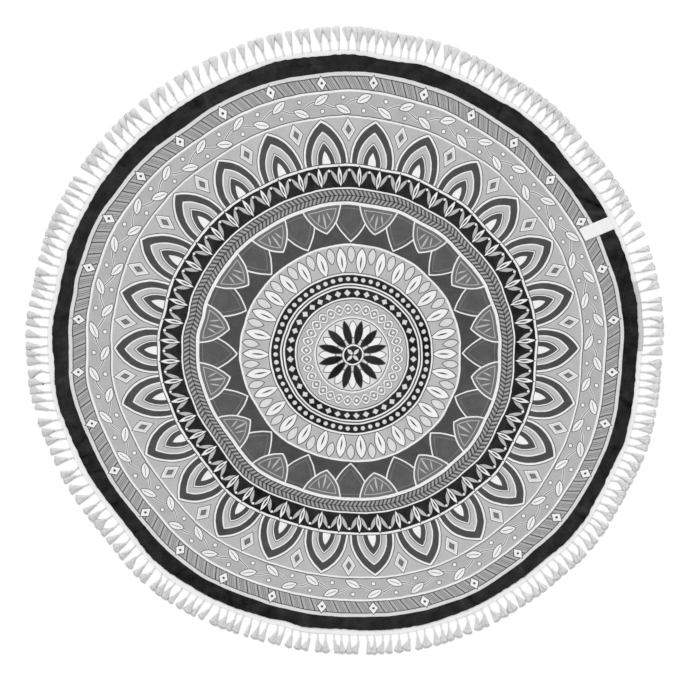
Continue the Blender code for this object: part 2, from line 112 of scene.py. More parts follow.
TASSEL_ROWS = (
    # the bearings of a root, of its knot, and of the left and right corners of its tip
    (0.3, 0.25, -0.95, 0.85), (1.95, 1.8, 0.85, 2), (2.35, 2.4, 2, 3.2), (3.95, 3.95, 3.2, 4.9),
    (5.55, 5.55, 4.95, 6.35), (7.15, 7.3, 6.35, 7.7), (8.85, 8.75, 7.75, 9.45),
    (10.6, 10.5, 9.55, 11.05), (12.15, 11.9, 11.05, 12.6), (13.65, 13.4, 12.7, 14.1),
    (15.45, 15.55, 14.35, 15.95), (17.15, 17, 16.05, 17.4), (19.05, 19, 17.95, 19.7),
    (20.75, 20.5, 19.7, 21.05), (22.7, 22.1, 21.2, 23.5), (24.35, 24.15, 23.6, 24.95),
    (25.75, 25.8, 24.95, 26.45), (27.4, 27.35, 26.55, 28.2), (29.05, 29.1, 28.25, 29.75),
    (31, 30.65, 29.75, 31.5), (32.65, 32.4, 31.55, 33.5), (34.15, 34.05, 33.6, 35),
    (36.05, 36, 35.05, 36.5), (37.75, 37.7, 36.5, 38.5), (39.4, 39.3, 38.6, 40),
    (41.15, 41.15, 40.05, 41.75), (42.75, 42.8, 41.8, 43.2), (44.45, 44.45, 43.25, 45),
    (46.35, 46.25, 45.05, 47), (48.3, 48, 47.05, 48.75), (50.2, 50.1, 49.25, 50.7),
    (52.05, 51.95, 50.75, 52.4), (53.65, 53.6, 52.45, 54), (55.2, 55, 54.05, 55.5),
    (57.15, 57.05, 56.1, 58), (59.15, 59.4, 58.05, 59.65), (61.1, 61.05, 59.75, 61.35),
    (63.05, 62.65, 61.4, 62.95), (64.85, 64.3, 63, 64.1), (66.75, 66.1, 64.35, 65.6),
    (68.65, 68.2, 66.95, 68.1), (70.45, 70.05, 68.95, 69.95), (72.2, 72.25, 71.75, 73),
    (74.1, 74, 73.3, 74.45), (76.05, 76.1, 74.9, 76.45), (77.95, 77.6, 77.05, 78.3),
    (79.9, 79.65, 78.35, 79.85), (81.85, 82.05, 81.3, 82.45), (83.45, 83.35, 82.6, 84.1),
    (85.2, 85.1, 84.85, 86.05), (86.7, 86.7, 86.1, 87.2), (88.45, 88.4, 87.25, 88.7),
    (90.25, 90.1, 88.95, 90.1), (92.1, 91.8, 90.3, 92.1), (93.8, 93.6, 92.65, 94.75),
    (95.35, 95.35, 94.8, 95.95), (96.9, 96.9, 96, 97.3), (98.4, 98.2, 97.35, 98.8),
    (100.05, 99.85, 98.85, 100.05), (101.5, 101.15, 100.1, 101.65),
    (103.55, 103.15, 101.95, 103.45), (105.15, 104.85, 103.6, 105.1),
    (106.45, 106.1, 105.15, 106.5), (108.2, 108, 106.65, 108.45), (109.75, 109.5, 108.5, 109.85),
    (111.2, 111.05, 110.5, 112.1), (112.8, 112.75, 112.15, 113.9), (114.35, 114.25, 114, 115.1),
    (115.95, 115.9, 115.15, 116.3), (117.3, 116.8, 116.35, 117.85), (118.95, 118.75, 117.85, 119.4),
    (120.4, 120.1, 119.4, 120.8), (122.15, 121.8, 121, 122.4), (123.7, 123.3, 122.45, 124.1),
    (125.25, 125.15, 124.55, 125.8), (126.4, 126.3, 125.85, 127.5), (128.05, 128.05, 128, 129.05),
    (129.5, 129.5, 129.1, 130.55), (131.25, 131.15, 131.25, 132.3), (132.9, 132.9, 132.3, 133.8),
    (134.5, 134.5, 133.85, 135.35), (136.15, 136.05, 135.65, 137.25),
    (137.8, 137.75, 137.35, 138.7), (139.4, 139.4, 138.8, 140.1), (141.2, 141.3, 140.4, 141.9),
    (142.75, 142.6, 142, 143.45), (144.55, 144.65, 143.5, 145), (146.35, 146.05, 145.05, 146.75),
    (148.05, 147.85, 147, 148.9), (149.75, 149.6, 148.95, 150.4), (151.5, 151.6, 150.45, 152.1),
    (153.15, 153.1, 153.05, 154.45), (154.7, 154.65, 154.5, 156.05), (156.25, 156.45, 156.5, 158.1),
    (158.15, 158.4, 158.35, 159.95), (159.9, 160.25, 160.05, 161.3), (161.5, 161.6, 161.35, 162.6),
    (163.05, 163.05, 162.65, 163.95), (164.75, 165, 164.1, 166.1), (166.35, 166.4, 166.1, 167.35),
    (168, 168.1, 168.2, 169.65), (169.75, 170, 169.75, 171.3), (171.45, 171.65, 171.6, 173),
    (173, 173.1, 173.15, 174.5), (174.65, 174.65, 174.55, 175.4), (176.1, 175.9, 175.45, 176.5),
    (177.85, 177.8, 177.95, 179), (179.55, 179.5, 179.05, 180.3), (181.1, 181.05, 180.35, 181.45),
    (182.6, 182.4, 181.5, 182.3), (184.2, 184.15, 183.15, 184.6), (185.8, 185.65, 184.65, 186),
    (187.45, 187.3, 187.25, 188.6), (189.25, 189, 188.65, 190.05), (190.8, 190.75, 190.3, 191.7),
    (192.35, 192.45, 192.55, 193.6), (193.85, 193.65, 193.6, 195.05),
    (195.7, 195.9, 195.55, 196.95), (197.35, 197.35, 197, 198.3), (199.2, 199, 198.65, 199.6),
    (200.8, 200.95, 200.5, 202), (202.35, 202.2, 202.05, 203.2), (204.05, 203.9, 203.2, 204.75),
    (205.75, 205.5, 204.8, 206.5), (207.3, 207.5, 207.6, 208.85), (209.1, 209.35, 209.15, 210.05),
    (210.6, 210.8, 210.1, 211.85), (212.25, 212.3, 212, 213.4), (214, 214.15, 213.9, 215),
    (215.7, 215.9, 215.05, 216.3), (217.3, 217.15, 216.4, 217.9), (219, 218.4, 217.95, 219.2),
    (220.75, 220.55, 220.15, 221.85), (222.6, 222.45, 221.95, 223.2), (224.45, 224.7, 223.6, 225.4),
    (226.4, 226.35, 226, 227.5), (228.2, 228, 227.7, 229.5), (230.05, 230.05, 229.65, 231.2),
    (231.85, 231.8, 231.5, 233), (233.85, 233.95, 233.05, 234.95), (235.8, 235.8, 235, 236.45),
    (237.7, 237.4, 236.65, 238.1), (239.65, 239.5, 239, 240.95), (241.55, 241.65, 241.25, 243.1),
    (243.7, 244, 243.45, 244.45), (245.5, 245, 244.5, 246.1), (247.4, 247.65, 247.2, 249),
    (249.3, 249.5, 249.3, 250.7), (251.4, 251.8, 251.15, 253), (253.35, 253.5, 253.05, 254.6),
    (255.35, 255.5, 254.75, 256.5), (257.15, 257.65, 258.15, 259.2), (259.1, 259.45, 259.35, 260.8),
    (260.85, 261, 260.95, 262.3), (262.6, 262.75, 262.35, 263.75), (264.45, 265, 263.8, 265.35),
    (266.3, 266.6, 266.05, 267.75), (268, 268.05, 267.8, 268.95), (269.75, 269.55, 269, 270.5),
    (271.35, 271.4, 271.1, 272.7), (273.3, 273.3, 273.35, 274.6), (275.1, 275.1, 274.7, 276.05),
    (276.8, 276.8, 276.85, 278), (278.45, 278.6, 278.65, 280.05), (280.1, 280.25, 280.2, 281.2),
    (281.55, 281.35, 281.2, 282.35), (283.4, 283.1, 282.4, 284.1), (285.05, 285.15, 285.2, 286.5),
    (286.75, 286.8, 287, 288.35), (288.35, 288.5, 288.45, 289.75), (289.95, 290.25, 289.8, 291.2),
    (291.75, 292.1, 291.3, 292.8), (293.35, 293.35, 292.85, 294.35), (295, 294.95, 294.4, 296.3),
    (296.75, 296.8, 296.9, 297.95), (298.3, 298.65, 298.1, 299), (300.15, 300, 299.5, 300.65),
    (301.95, 301.8, 300.85, 301.75), (303.75, 303.9, 303.45, 305), (305.55, 305.55, 305.05, 306.7),
    (307.3, 307.3, 306.75, 308.05), (308.85, 308.5, 308.1, 309.65), (310.6, 310.85, 310.6, 311.9),
    (312.45, 312.6, 312.35, 314.1), (314.2, 314.2, 314.2, 315.55), (316.05, 316, 315.6, 316.6),
    (318.1, 317.55, 316.6, 318), (319.75, 319.75, 319, 320.9), (321.65, 321.8, 321.65, 323.05),
    (323.45, 323.3, 323.15, 324.6), (325.05, 325.2, 325.05, 325.75),
    (327.05, 327.15, 326.75, 328.6), (328.85, 329.15, 328.7, 329.85),
    (330.8, 330.8, 330.75, 331.85), (332.7, 332.8, 332.85, 334), (334.65, 334.5, 334.05, 335.75),
    (336.4, 336.45, 336.4, 337.85), (338.3, 338.2, 338.15, 339.3), (340.2, 340.15, 339.65, 341.1),
    (342.3, 342.2, 341.55, 343), (344.1, 343.95, 343.1, 344.7), (346.05, 346, 345.15, 346.75),
    (347.75, 347.6, 346.8, 348.25), (349.4, 349.4, 348.65, 349.95), (351.3, 351.4, 350.35, 351.9),
    (353, 352.95, 351.95, 353.15), (355.05, 354.95, 353.75, 355.6), (356.8, 356.65, 355.65, 357.05),
    (358.4, 358.45, 357.2, 358.65),
)

# ---------------------------------------------------------------- sizes of the looks alone


class Crease(NamedTuple):
    """A soft ridge or trough that runs inwards from the cloth's edge."""

    bearing: float
    height: float  # below zero for a trough
    width: float  # degrees from its middle to where it has faded
    reach: float  # how far in it runs
    slant: float  # degrees of bearing that it drifts over its reach


RIM_CREASES = tuple(
    Crease(bearing, height * MM, width, reach * MM, slant)
    for bearing, height, width, reach, slant in (
        (32.9, -1.6, 0.9, 60, 1.0), (62.3, -2.4, 1.4, 60, -8.0), (63.3, 2.8, 0.9, 75, -3.6),
        (67.8, -1.3, 0.7, 55, 0.5), (72.2, -1.6, 1.0, 65, 8.0), (85.5, -1.0, 1.2, 50, 0.0),
        (102.4, -1.6, 1.0, 60, -2.2), (111.0, -0.9, 0.8, 40, 0.5), (117.3, -1.4, 1.2, 50, -2.0),
        (125.0, 2.0, 0.7, 45, 0.4), (126.2, -1.5, 0.6, 50, 0.6), (142.6, 1.6, 0.6, 50, -0.6),
        (153.8, -2.2, 0.8, 60, 1.2), (155.7, 1.7, 0.6, 60, 0.8), (188.3, 0.5, 0.9, 30, -0.5),
        (209.7, 1.0, 0.9, 50, 0.6), (216.4, -0.6, 0.8, 55, -1.2), (225.1, -1.1, 0.5, 50, -0.9),
        (228.5, -1.4, 0.6, 70, -1.7), (235.4, -1.1, 0.6, 65, -0.3), (238.9, -0.9, 0.9, 45, 0.0),
        (243.5, -1.7, 0.6, 60, -1.6), (245.0, -1.1, 0.5, 30, 0.0), (246.8, -1.5, 0.5, 65, -0.4),
        (249.0, -1.9, 0.6, 55, 2.2), (262.6, 1.7, 0.9, 60, 0.8), (271.5, -1.4, 0.7, 50, -0.4),
        (285.2, 1.7, 0.6, 60, 0.8), (286.6, -1.0, 0.8, 70, -0.8), (308.7, -1.2, 0.6, 95, -0.2),
        (328.1, -1.5, 0.9, 105, 1.0), (330.0, 2.1, 0.7, 65, 0.4), (331.4, -1.3, 0.7, 65, 1.4),
        (332.4, 1.3, 0.5, 60, 8.0), (343.1, 1.0, 1.2, 55, -1.4),
    )
)

# How far the print has crept from the cloth's middle, at the rim and further still in the middle
PRINT_CREPT_AT_RIM = -1.5 * MM  # along +Y
PRINT_CREPT_ACROSS = 15 * MM
PRINT_CREPT_ALONG = -24.5 * MM
PRINT_DRIFT_STARTS = 50 * MM
PRINT_DRIFT_ENDS = 560 * MM
PRINT_SWAYS = swells(
    (10, 3, 8), (20, -2, 8), (41, -4, 14), (65, -4.5, 14), (117, 4, 12), (152, 3, 16), (217, -4.2, 16),
    (235, 2, 8), (246, -2.5, 8), (270, -4, 9), (281, 4, 8), (297, 3.8, 10), (322, -5, 14), (351, -4, 14),
)
PRINT_SWAYS_START = 420 * MM
PRINT_SWAYS_END = 640 * MM

LABEL_LEAN = 0.2  # degrees that its sewn end lies further round than its loose end
LABEL_CALM = (1.5, 2.4)  # degrees from its middle over which the cloth's edge gets its bumps back

HEM_STITCHES_INWARD = 20 * MM
TAPE_STITCHES_INWARD = 5.5 * MM
STITCH_PITCH = 4 * MM
STITCH_LENGTH = 3.1 * MM
LABEL_STITCH_LENGTH = 2.4 * MM

# The greyer second layer of tape where its two ends meet
LAP_FROM = 77.8
LAP_TO = 91.4
LAP_THICKNESS = 0.4 * MM
LAP_TONE = 0.66
LAP_NECK_TONE = 0.92

# Painted light and shade: stretches of the border painted darker or lighter, for light that falls
# unevenly round the towel
PAINTED_BORDER_LIGHT = swells((88, -1.1, 24), (209, -1.2, 26), (292, 0.5, 14), (337, 0.8, 16), scale=1)

# Faint smudges on the tape
TAPE_SMUDGES = swells(
    (32.2, 0.04, 1.6), (280.6, 0.06, 0.8), (284.0, 0.05, 0.8), (286.6, 0.06, 0.5), (305.6, 0.04, 0.5),
    scale=1,
)


# ---------------------------------------------------------------- camera, light and floor

CAMERA_HEIGHT = 3.815
CAMERA_LENS = 85  # mm, on a 36 mm sensor
CAMERA_MIDDLE = (-11.6 * MM, 4.4 * MM)
KEY_STRENGTH = 1.6
KEY_SOFTNESS = 40  # degrees that the lamp fills in the sky
KEY_TOWARDS = (0.10, -0.62, -0.80)
FILL_STRENGTH = 0.71
FLOOR_SIZE = 60.0
FLOOR_DEPTH = 0.2 * MM  # how far below the towel it lies


def place_in_scene(name, data):
    made = bpy.data.objects.new(name, data)
    bpy.context.scene.collection.objects.link(made)
    return made


def make_camera():
    """Straight above the towel, with the photograph's framing."""
    camera = place_in_scene("camera", bpy.data.cameras.new("camera"))
    camera.data.lens = CAMERA_LENS
    camera.data.sensor_width = 36
    camera.data.clip_end = 50
    camera.location = (*CAMERA_MIDDLE, CAMERA_HEIGHT)
    bpy.context.scene.camera = camera


def make_light():
    """One broad soft key from the photo's top, and an even fill from all round."""
    key = place_in_scene("key", bpy.data.lights.new("key", "SUN"))
    key.data.energy = KEY_STRENGTH
    key.data.angle = math.radians(KEY_SOFTNESS)
    key.rotation_euler = Vector(KEY_TOWARDS).to_track_quat("-Z", "Y").to_euler()
    world = bpy.data.worlds.new("studio")
    world.use_nodes = True
    sky = world.node_tree.nodes["Background"]
    sky.inputs["Color"].default_value = (1, 1, 1, 1)
    sky.inputs["Strength"].default_value = FILL_STRENGTH
    bpy.context.scene.world = world
    bpy.context.scene.view_settings.view_transform = "Standard"


def make_floor():
    """A plain pale floor that reaches past the picture on all sides."""
    half = FLOOR_SIZE / 2
    data = bpy.data.meshes.new("floor")
    corners = [(-half, -half), (half, -half), (half, half), (-half, half)]
    data.from_pydata([(x, y, -FLOOR_DEPTH) for x, y in corners], [], [(0, 1, 2, 3)])
    floor = place_in_scene("floor", data)
    data.materials.append(pale_floor())
    return floor


# ---------------------------------------------------------------- how the towel lies


def smooth_step(low, high, value):
    share = np.clip((value - low) / (high - low), 0, 1)
    return share * share * (3 - 2 * share)


def all_round(count):
    """Bearings at even steps all the way round."""
    return np.arange(count) * 360 / count


def turn_between(bearing, other):
    """The signed turn from one bearing to another, at most half a turn either way."""
    return (bearing - other + 180) % 360 - 180


def hump(away, spread):
    """A smooth hump, 1 in its middle and nothing from the spread on."""
    return np.cos(np.minimum(np.abs(away) / spread, 1) * np.pi / 2) ** 2


def swell_at(swells, bearing):
    """The sum of the swells at some bearings."""
    total = np.zeros_like(bearing, dtype=float)
    for swell in swells:
        total = total + swell.height * hump(turn_between(bearing, swell.bearing), swell.spread)
    return total


def outward(bearing):
    angle = np.radians(bearing)
    return np.stack([np.sin(angle), np.cos(angle), np.zeros_like(angle)], axis=-1)


def laid(bearing, radius, height):
    """Where points of the perfectly round, flat towel come to lie."""
    bearing, radius, height = (part * 1.0 for part in np.broadcast_arrays(bearing, radius, height))
    drift = swell_at(EDGE_SWELLS, bearing) * smooth_step(DRIFT_STARTS, DRIFT_ENDS, radius)
    ruffle = swell_at(HEM_RUFFLES, bearing) * smooth_step(RUFFLE_STARTS, RUFFLE_ENDS, radius)
    on_tape = smooth_step(EDGE_RADIUS, EDGE_RADIUS + TAPE_SHOWN, radius)
    ruffle = ruffle * (1 - RUFFLE_LOST_IN_TAPE * on_tape)
    lift = swell_at(RIM_LIFTS, bearing) * smooth_step(LIFT_STARTS, LIFT_ENDS, radius)
    place = outward(bearing) * (radius + drift + ruffle)[..., None]
    place[..., 2] = height + lift
    return place


def label_bearing(inward):
    """The bearing of the label's middle line, which leans a little."""
    return LABEL_BEARING + LABEL_LEAN * (1 - inward / LABEL_REACH)


def wander(bearing, fewest, most, seed, waves=14):
    """A smooth uneven value round the towel, about -1 to 1, of waves that close on themselves."""
    draw = np.random.default_rng(seed)
    counts = draw.integers(fewest, most + 1, waves)
    phases = draw.uniform(0, 2 * np.pi, waves)
    total = sum(np.sin(np.radians(bearing) * count + phase) for count, phase in zip(counts, phases))
    return total / math.sqrt(waves)


def rolling(place, shortest, longest, seed, waves=12):
    """A smooth uneven value over the ground, about -1 to 1."""
    draw = np.random.default_rng(seed)
    total = np.zeros(place.shape[:-1])
    for _ in range(waves):
        length = draw.uniform(shortest, longest)
        heading, phase = draw.uniform(0, 2 * np.pi, 2)
        along = place[..., 0] * math.cos(heading) + place[..., 1] * math.sin(heading)
        total = total + np.sin(2 * np.pi * along / length + phase)
    return total / math.sqrt(waves)


def crease_height(bearing, radius):
    """The ridges and troughs near the edge, fading inwards."""
    inward = EDGE_RADIUS - radius
    total = np.zeros(np.broadcast_shapes(np.shape(bearing), np.shape(radius)))
    for crease in RIM_CREASES:
        share = np.clip(inward / crease.reach, 0, 1)
        away = turn_between(bearing, crease.bearing + crease.slant * share)
        total = total + crease.height * hump(away, crease.width) * smooth_step(1, 0.3, share)
    return total


# ---------------------------------------------------------------- meshes from arrays of points


class Shape:
    """Points, faces and named values of the points, gathered batch by batch."""

    def __init__(self):
        self.points = []
        self.faces = []
        self.smooth = []
        self.values = {}
        self.count = 0

    def add_points(self, points, **values):
        """Adds a batch of points, and returns the numbers that they got."""
        points = np.asarray(points, dtype=float).reshape(-1, 3)
        self.points.append(points)
        for name, value in values.items():
            value = np.asarray(value, dtype=float)
            width = value.shape[-1] if value.ndim > 1 else 1
            filled = np.broadcast_to(value.reshape(-1, width), (len(points), width))
            self.values.setdefault(name, []).append(filled)
        self.count += len(points)
        return np.arange(self.count - len(points), self.count)

    def add_faces(self, faces, smooth=True):
        self.faces += np.asarray(faces).tolist()
        self.smooth += [smooth] * len(faces)

    def make(self, name, *materials):
        """A mesh object with its values as attributes."""
        data = bpy.data.meshes.new(name)
        data.from_pydata(np.concatenate(self.points).tolist(), [], self.faces)
        for label, batches in self.values.items():
            value = np.concatenate(batches)
            kind, field = ("FLOAT", "value") if value.shape[1] == 1 else ("FLOAT_VECTOR", "vector")
            attribute = data.attributes.new(label, kind, "POINT")
            attribute.data.foreach_set(field, np.ascontiguousarray(value, dtype=np.float32).ravel())
        data.polygons.foreach_set("use_smooth", self.smooth)
        for material in materials:
            data.materials.append(material)
        return place_in_scene(name, data)


def next_to(numbers, axis=0):
    """The number that follows each one in a closed loop."""
    return np.roll(numbers, -1, axis=axis)


# ---------------------------------------------------------------- arithmetic in a node tree


class Value:
    """A number in a node tree, which grows a Math node whenever it is reckoned with."""

    def __init__(self, socket):
        self.socket = socket

    def __add__(self, other):
        return reckon("ADD", self, other)

    def __sub__(self, other):
        return reckon("SUBTRACT", self, other)

    def __rsub__(self, other):
        return reckon("SUBTRACT", other, self)

    def __mul__(self, other):
        return reckon("MULTIPLY", self, other)

    def __abs__(self):
        return reckon("ABSOLUTE", self)

    __radd__ = __add__
    __rmul__ = __mul__


def feed(socket, fed):
    """Links a value or another socket to a socket, or sets a plain number on it."""
    fed = fed.socket if isinstance(fed, Value) else fed
    if isinstance(fed, bpy.types.NodeSocket):
        socket.id_data.links.new(fed, socket)
    else:
        socket.default_value = fed


def new_node(tree, kind, *fed, **settings):
    """A node with some settings, and its first inputs fed in turn."""
    node = tree.nodes.new("ShaderNode" + kind)
    for name, setting in settings.items():
        setattr(node, name, setting)
    for socket, value in zip(node.inputs, fed):
        feed(socket, value)
    return node


def reckon(operation, *values, clamp=False):
    tree = next(value.socket.id_data for value in values if isinstance(value, Value))
    return Value(new_node(tree, "Math", *values, operation=operation, use_clamp=clamp).outputs[0])


def mix(first, second, share):
    """The first value where the share is 0, and the second where it is 1."""
    node = new_node(share.socket.id_data, "Mix")
    for name, fed in (("Factor", share), ("A", first), ("B", second)):
        feed(node.inputs[name], fed)
    return Value(node.outputs["Result"])


def larger(first, second):
    return reckon("MAXIMUM", first, second)


def wave_of(angle):
    return reckon("SINE", angle)


def distance(across, along):
    """The straight distance from a place where both are nought."""
    return reckon("SQRT", reckon("MULTIPLY_ADD", along, along, across * across))


def first_two(socket):
    """The first two parts of a vector."""
    parts = new_node(socket.id_data, "SeparateXYZ", socket)
    return Value(parts.outputs["X"]), Value(parts.outputs["Y"])


def noise_at(place, size, detail=2.0, roughness=0.5, output="Fac"):
    """Noise from 0 to 1 whose patches are about as wide as the size."""
    node = new_node(place.id_data, "TexNoise", place)
    for name, setting in (("Scale", 1 / size), ("Detail", detail), ("Roughness", roughness)):
        node.inputs[name].default_value = setting
    return node.outputs[output]


# ---------------------------------------------------------------- the print

# Shares of the light that each ink sends back
BLACK = 0.016
DARK = 0.066
MID = 0.165
LIGHT = 0.45
PALE = 0.63
WHITE = 0.79

INK_BLEED = 0.9  # mm over which an ink's edge softens in the pile
MM_PER_M = 1000


class Pen:
    """Inks a ringed print from its rim to its middle. Lengths here are in millimetres."""

    def __init__(self, across, up):
        self.radius = distance(across, up)
        self.turn = reckon("ARCTAN2", across, up) * (0.5 / math.pi)
        self.tone = BLACK

    def ink(self, away, shade, grow=0.0):
        """Inks all that lies less than the grow distance outside a form."""
        cover = reckon("MULTIPLY_ADD", away, -1 / INK_BLEED, 0.5 + grow / INK_BLEED, clamp=True)
        self.tone = mix(self.tone, shade, cover)

    def ink_within(self, radius, away, shade):
        """Inks the part of a form that lies inside a radius."""
        self.ink(larger(away, self.radius - radius), shade)

    def discs(self, *rows):
        for radius, shade in rows:
            self.ink(self.radius, shade, grow=radius)

    def outlined(self, away, fill, line, outline=WHITE, edge=None):
        """A form with a line round it, and a thin second line round that if it has a shade."""
        if edge is not None:
            self.ink(away, edge, grow=line + 1.5)
        self.ink(away, outline, grow=line)
        self.ink(away, fill)

    def sector(self, count, shift=0.0):
        """How far round its own sector a place lies, from -0.5 to 0.5."""
        return reckon("FRACT", reckon("MULTIPLY_ADD", self.turn, count, shift + count)) - 0.5

    def rolled_out(self, count, middle, shift=0.0):
        """Distances across and along each sector, as if the ring were rolled out straight."""
        across = self.sector(count, shift) * (2 * math.pi * middle / count)
        return across, self.radius - middle

    def squared(self, count, shift=0.0):
        """True distances across and out along each sector's middle line."""
        angle = self.sector(count, shift) * (2 * math.pi / count)
        return self.radius * wave_of(angle), self.radius * reckon("COSINE", angle)


def leaf(across, along, half_length, half_width):
    """The distance to a leaf of two arcs that meet in its tips, below zero inside."""
    bend = (half_length**2 + half_width**2) / (2 * half_width)
    return distance(abs(across) + (bend - half_width), along) - bend


def slanted(across, along, degrees):
    """The same place, seen from axes that are turned clockwise."""
    cosine, sine = math.cos(math.radians(degrees)), math.sin(math.radians(degrees))
    turned_across = reckon("MULTIPLY_ADD", across, cosine, along * -sine)
    return turned_across, reckon("MULTIPLY_ADD", along, cosine, across * sine)


def diamond(across, along, half_width, half_height):
    """The distance to a diamond, below zero inside."""
    steep = 1 / math.hypot(1 / half_width, 1 / half_height)
    reach = reckon("MULTIPLY_ADD", abs(across), steep / half_width, abs(along) * (steep / half_height))
    return reach - steep


def draw_rope_ring(pen):
    """A border of slanted cords between plain lines, with a small diamond at each 32nd."""
    inner = 638.5
    pen.discs((649, PALE), (640.5, BLACK), (inner, 0.38))
    middle, count = 627, 144
    slant = (pen.radius - middle) * (0.62 / 32)
    cord = abs(pen.rolled_out(count, middle, slant)[0])
    pen.ink_within(inner, abs(cord - 4.6) - 0.8, MID)
    pen.ink_within(inner, cord - 1.0, MID)
    pen.ink_within(inner, 12.2 - cord, DARK)
    place = pen.rolled_out(32, middle)
    pen.outlined(diamond(*place, 11, 15), WHITE, line=1.9, outline=DARK)
    pen.outlined(distance(*place) - 3.0, DARK, line=0.0)


def draw_garland(pen):
    """A wavy stem with leaves in and out of it, and berries in its bends."""
    pen.discs((611, DARK), (609, WHITE), (604, 0.42))
    middle, count = 578, 36
    wave = wave_of(pen.turn * (2 * math.pi * count)) * 9.5
    stem = abs(pen.radius - middle - wave)
    pen.ink(stem - 2.6, WHITE)
    pen.ink(stem - 1.1, DARK)
    for shift, offset, slant in ((0.12, 12.5, 62), (0.62, -12.5, -62)):
        turned = slanted(*pen.rolled_out(count, middle + offset, shift), slant)
        form = leaf(*turned, 19, 8.2)
        pen.outlined(form, WHITE, line=1.6, outline=DARK)
        pen.ink(larger(abs(turned[0]) - 0.7, form + 4.0), DARK)
    for shift, offset in ((0.12, -13.5), (0.62, 13.5)):
        berry = distance(*pen.rolled_out(count, middle + offset, shift)) - 4.2
        pen.outlined(berry, WHITE, line=1.5, outline=DARK)


def draw_arches(pen):
    """Tall pointed arches set one inside another, with a lozenge between every two tips."""
    pen.discs((553, DARK), (551, WHITE), (547, LIGHT))
    count, foot, middle = 26, 442, 520
    between = pen.rolled_out(count, middle, 0.5)
    pen.outlined(diamond(*between, 13, 21), PALE, line=2.4, outline=WHITE, edge=DARK)
    pen.outlined(diamond(*between, 5.5, 9), MID, line=1.4, outline=DARK)
    arch = pen.rolled_out(count, foot)
    pen.outlined(leaf(*arch, 98, 47), DARK, line=4.2, edge=BLACK)
    pen.outlined(leaf(*arch, 73, 32), LIGHT, line=2.6)
    pen.outlined(leaf(*arch, 50, 20), DARK, line=2.2, edge=DARK)
    pen.ink(leaf(*arch, 31, 9.5), WHITE)


def draw_sprigs(pen):
    """A black border with a three-leaved sprig under each arch and each gap."""
    pen.discs((444, DARK), (442, WHITE), (437, BLACK))
    count, foot = 56, 388
    for side in (-1, 1):
        across, along = pen.rolled_out(count, foot + 24)
        turned = slanted(across - side * 11.0, along - 1.0, side * 26)
        pen.ink(leaf(*turned, 19, 4.2), LIGHT)
    across, along = pen.rolled_out(count, foot + 26)
    pen.outlined(leaf(across, along, 22, 5.0), WHITE, line=2.2, outline=BLACK)
    pen.ink(leaf(across, along + 2, 12, 1.9), DARK)
    pen.ink(distance(*pen.rolled_out(count, foot + 40, 0.5)) - 3.0, WHITE)


def draw_herringbone(pen):
    """A narrow ring of strokes that meet in chevrons."""
    inner = 383.5
    pen.discs((389, WHITE), (385.5, BLACK), (inner, 0.32))
    middle, count = 371, 228
    slant = abs(pen.radius - middle) * (0.72 / 12)
    pen.ink_within(inner, abs(pen.rolled_out(count, middle, slant)[0]) - 2.3, DARK)
    pen.ink(abs(pen.radius - middle) - 0.8, BLACK)


def draw_petals(pen):
    """Two rows of broad petals that hang inwards on a dark ground, veined and with a second line."""
    pen.discs((358.5, BLACK), (356.5, WHITE), (352, DARK))
    count, hung = 16, 372
    beyond = pen.radius - 349
    across, out = pen.squared(count, 0.5)
    back = larger(leaf(across, out - hung, 106, 49), beyond)
    pen.outlined(back, 0.09, line=3.0)
    pen.ink(abs(back + 8) - 0.9, MID)
    across, out = pen.squared(count)
    front = larger(leaf(across, out - hung, 82, 47), beyond)
    pen.outlined(front, 0.145, line=3.2)
    pen.ink(abs(front + 7.5) - 0.9, LIGHT)
    pen.ink(leaf(across, out - 316, 19, 2.2), LIGHT)
    for side in (-1, 1):
        turned = slanted(across - side * 12, out - 325, side * -18)
        pen.ink(leaf(*turned, 12, 1.6), LIGHT)


def draw_rays(pen):
    """A pale ring of narrow leaves, every second one set further out."""
    pen.discs((262, DARK), (259.5, WHITE), (255, LIGHT))
    count = 30
    pen.outlined(leaf(*pen.rolled_out(count, 235, 0.5), 18, 8.4), PALE, line=1.8, outline=DARK)
    across, along = pen.rolled_out(count, 221)
    pen.outlined(leaf(across, along, 29, 11), WHITE, line=2.0, outline=DARK)
    pen.ink(leaf(across, along + 3, 15, 1.8), DARK)


def draw_beads(pen):
    """A black ring of pale beads between white lines."""
    pen.discs((194, DARK), (192, WHITE), (188, BLACK))
    pen.ink(distance(*pen.rolled_out(62, 177.5)) - 5.1, PALE)
    pen.discs((167, WHITE), (163.5, DARK))


def draw_diamonds(pen):
    """A black ring of white diamonds between white lines."""
    pen.discs((162, DARK), (160, WHITE), (156.5, BLACK))
    pen.ink(diamond(*pen.rolled_out(40, 145.5), 7.6, 7.4), PALE)
    pen.discs((134.5, WHITE), (131, DARK))


def draw_plait(pen):
    """Two strands that cross each other on a light ground, with a dot in every eye."""
    pen.discs((129, LIGHT))
    middle, count = 109, 16
    wave = wave_of(pen.turn * (2 * math.pi * count)) * 10.5
    for strand in (pen.radius - middle - wave, pen.radius - middle + wave):
        pen.ink(abs(strand) - 3.9, DARK)
        pen.ink(abs(strand) - 2.4, WHITE)
    pen.outlined(distance(*pen.rolled_out(count * 2, middle)) - 3.6, WHITE, line=1.4, outline=DARK)
    pen.discs((90, WHITE), (86.5, DARK))


def draw_heart(pen):
    """A sunburst of dark and pale rays round a small four-leaved middle."""
    pen.discs((84.5, PALE))
    for shift, middle, half_length, half_width, fill in (
        (0.5, 60, 19, 8.5, WHITE),
        (0.0, 52, 28, 8.0, BLACK),
    ):
        across, out = pen.squared(12, shift)
        pen.outlined(leaf(across, out - middle, half_length, half_width), fill, line=1.8, outline=DARK)
    pen.discs((27, DARK), (25, WHITE), (21.5, BLACK))
    across, out = pen.squared(4)
    pen.ink(leaf(across, out - 10, 9, 3.8), PALE)
    pen.discs((2.6, BLACK))


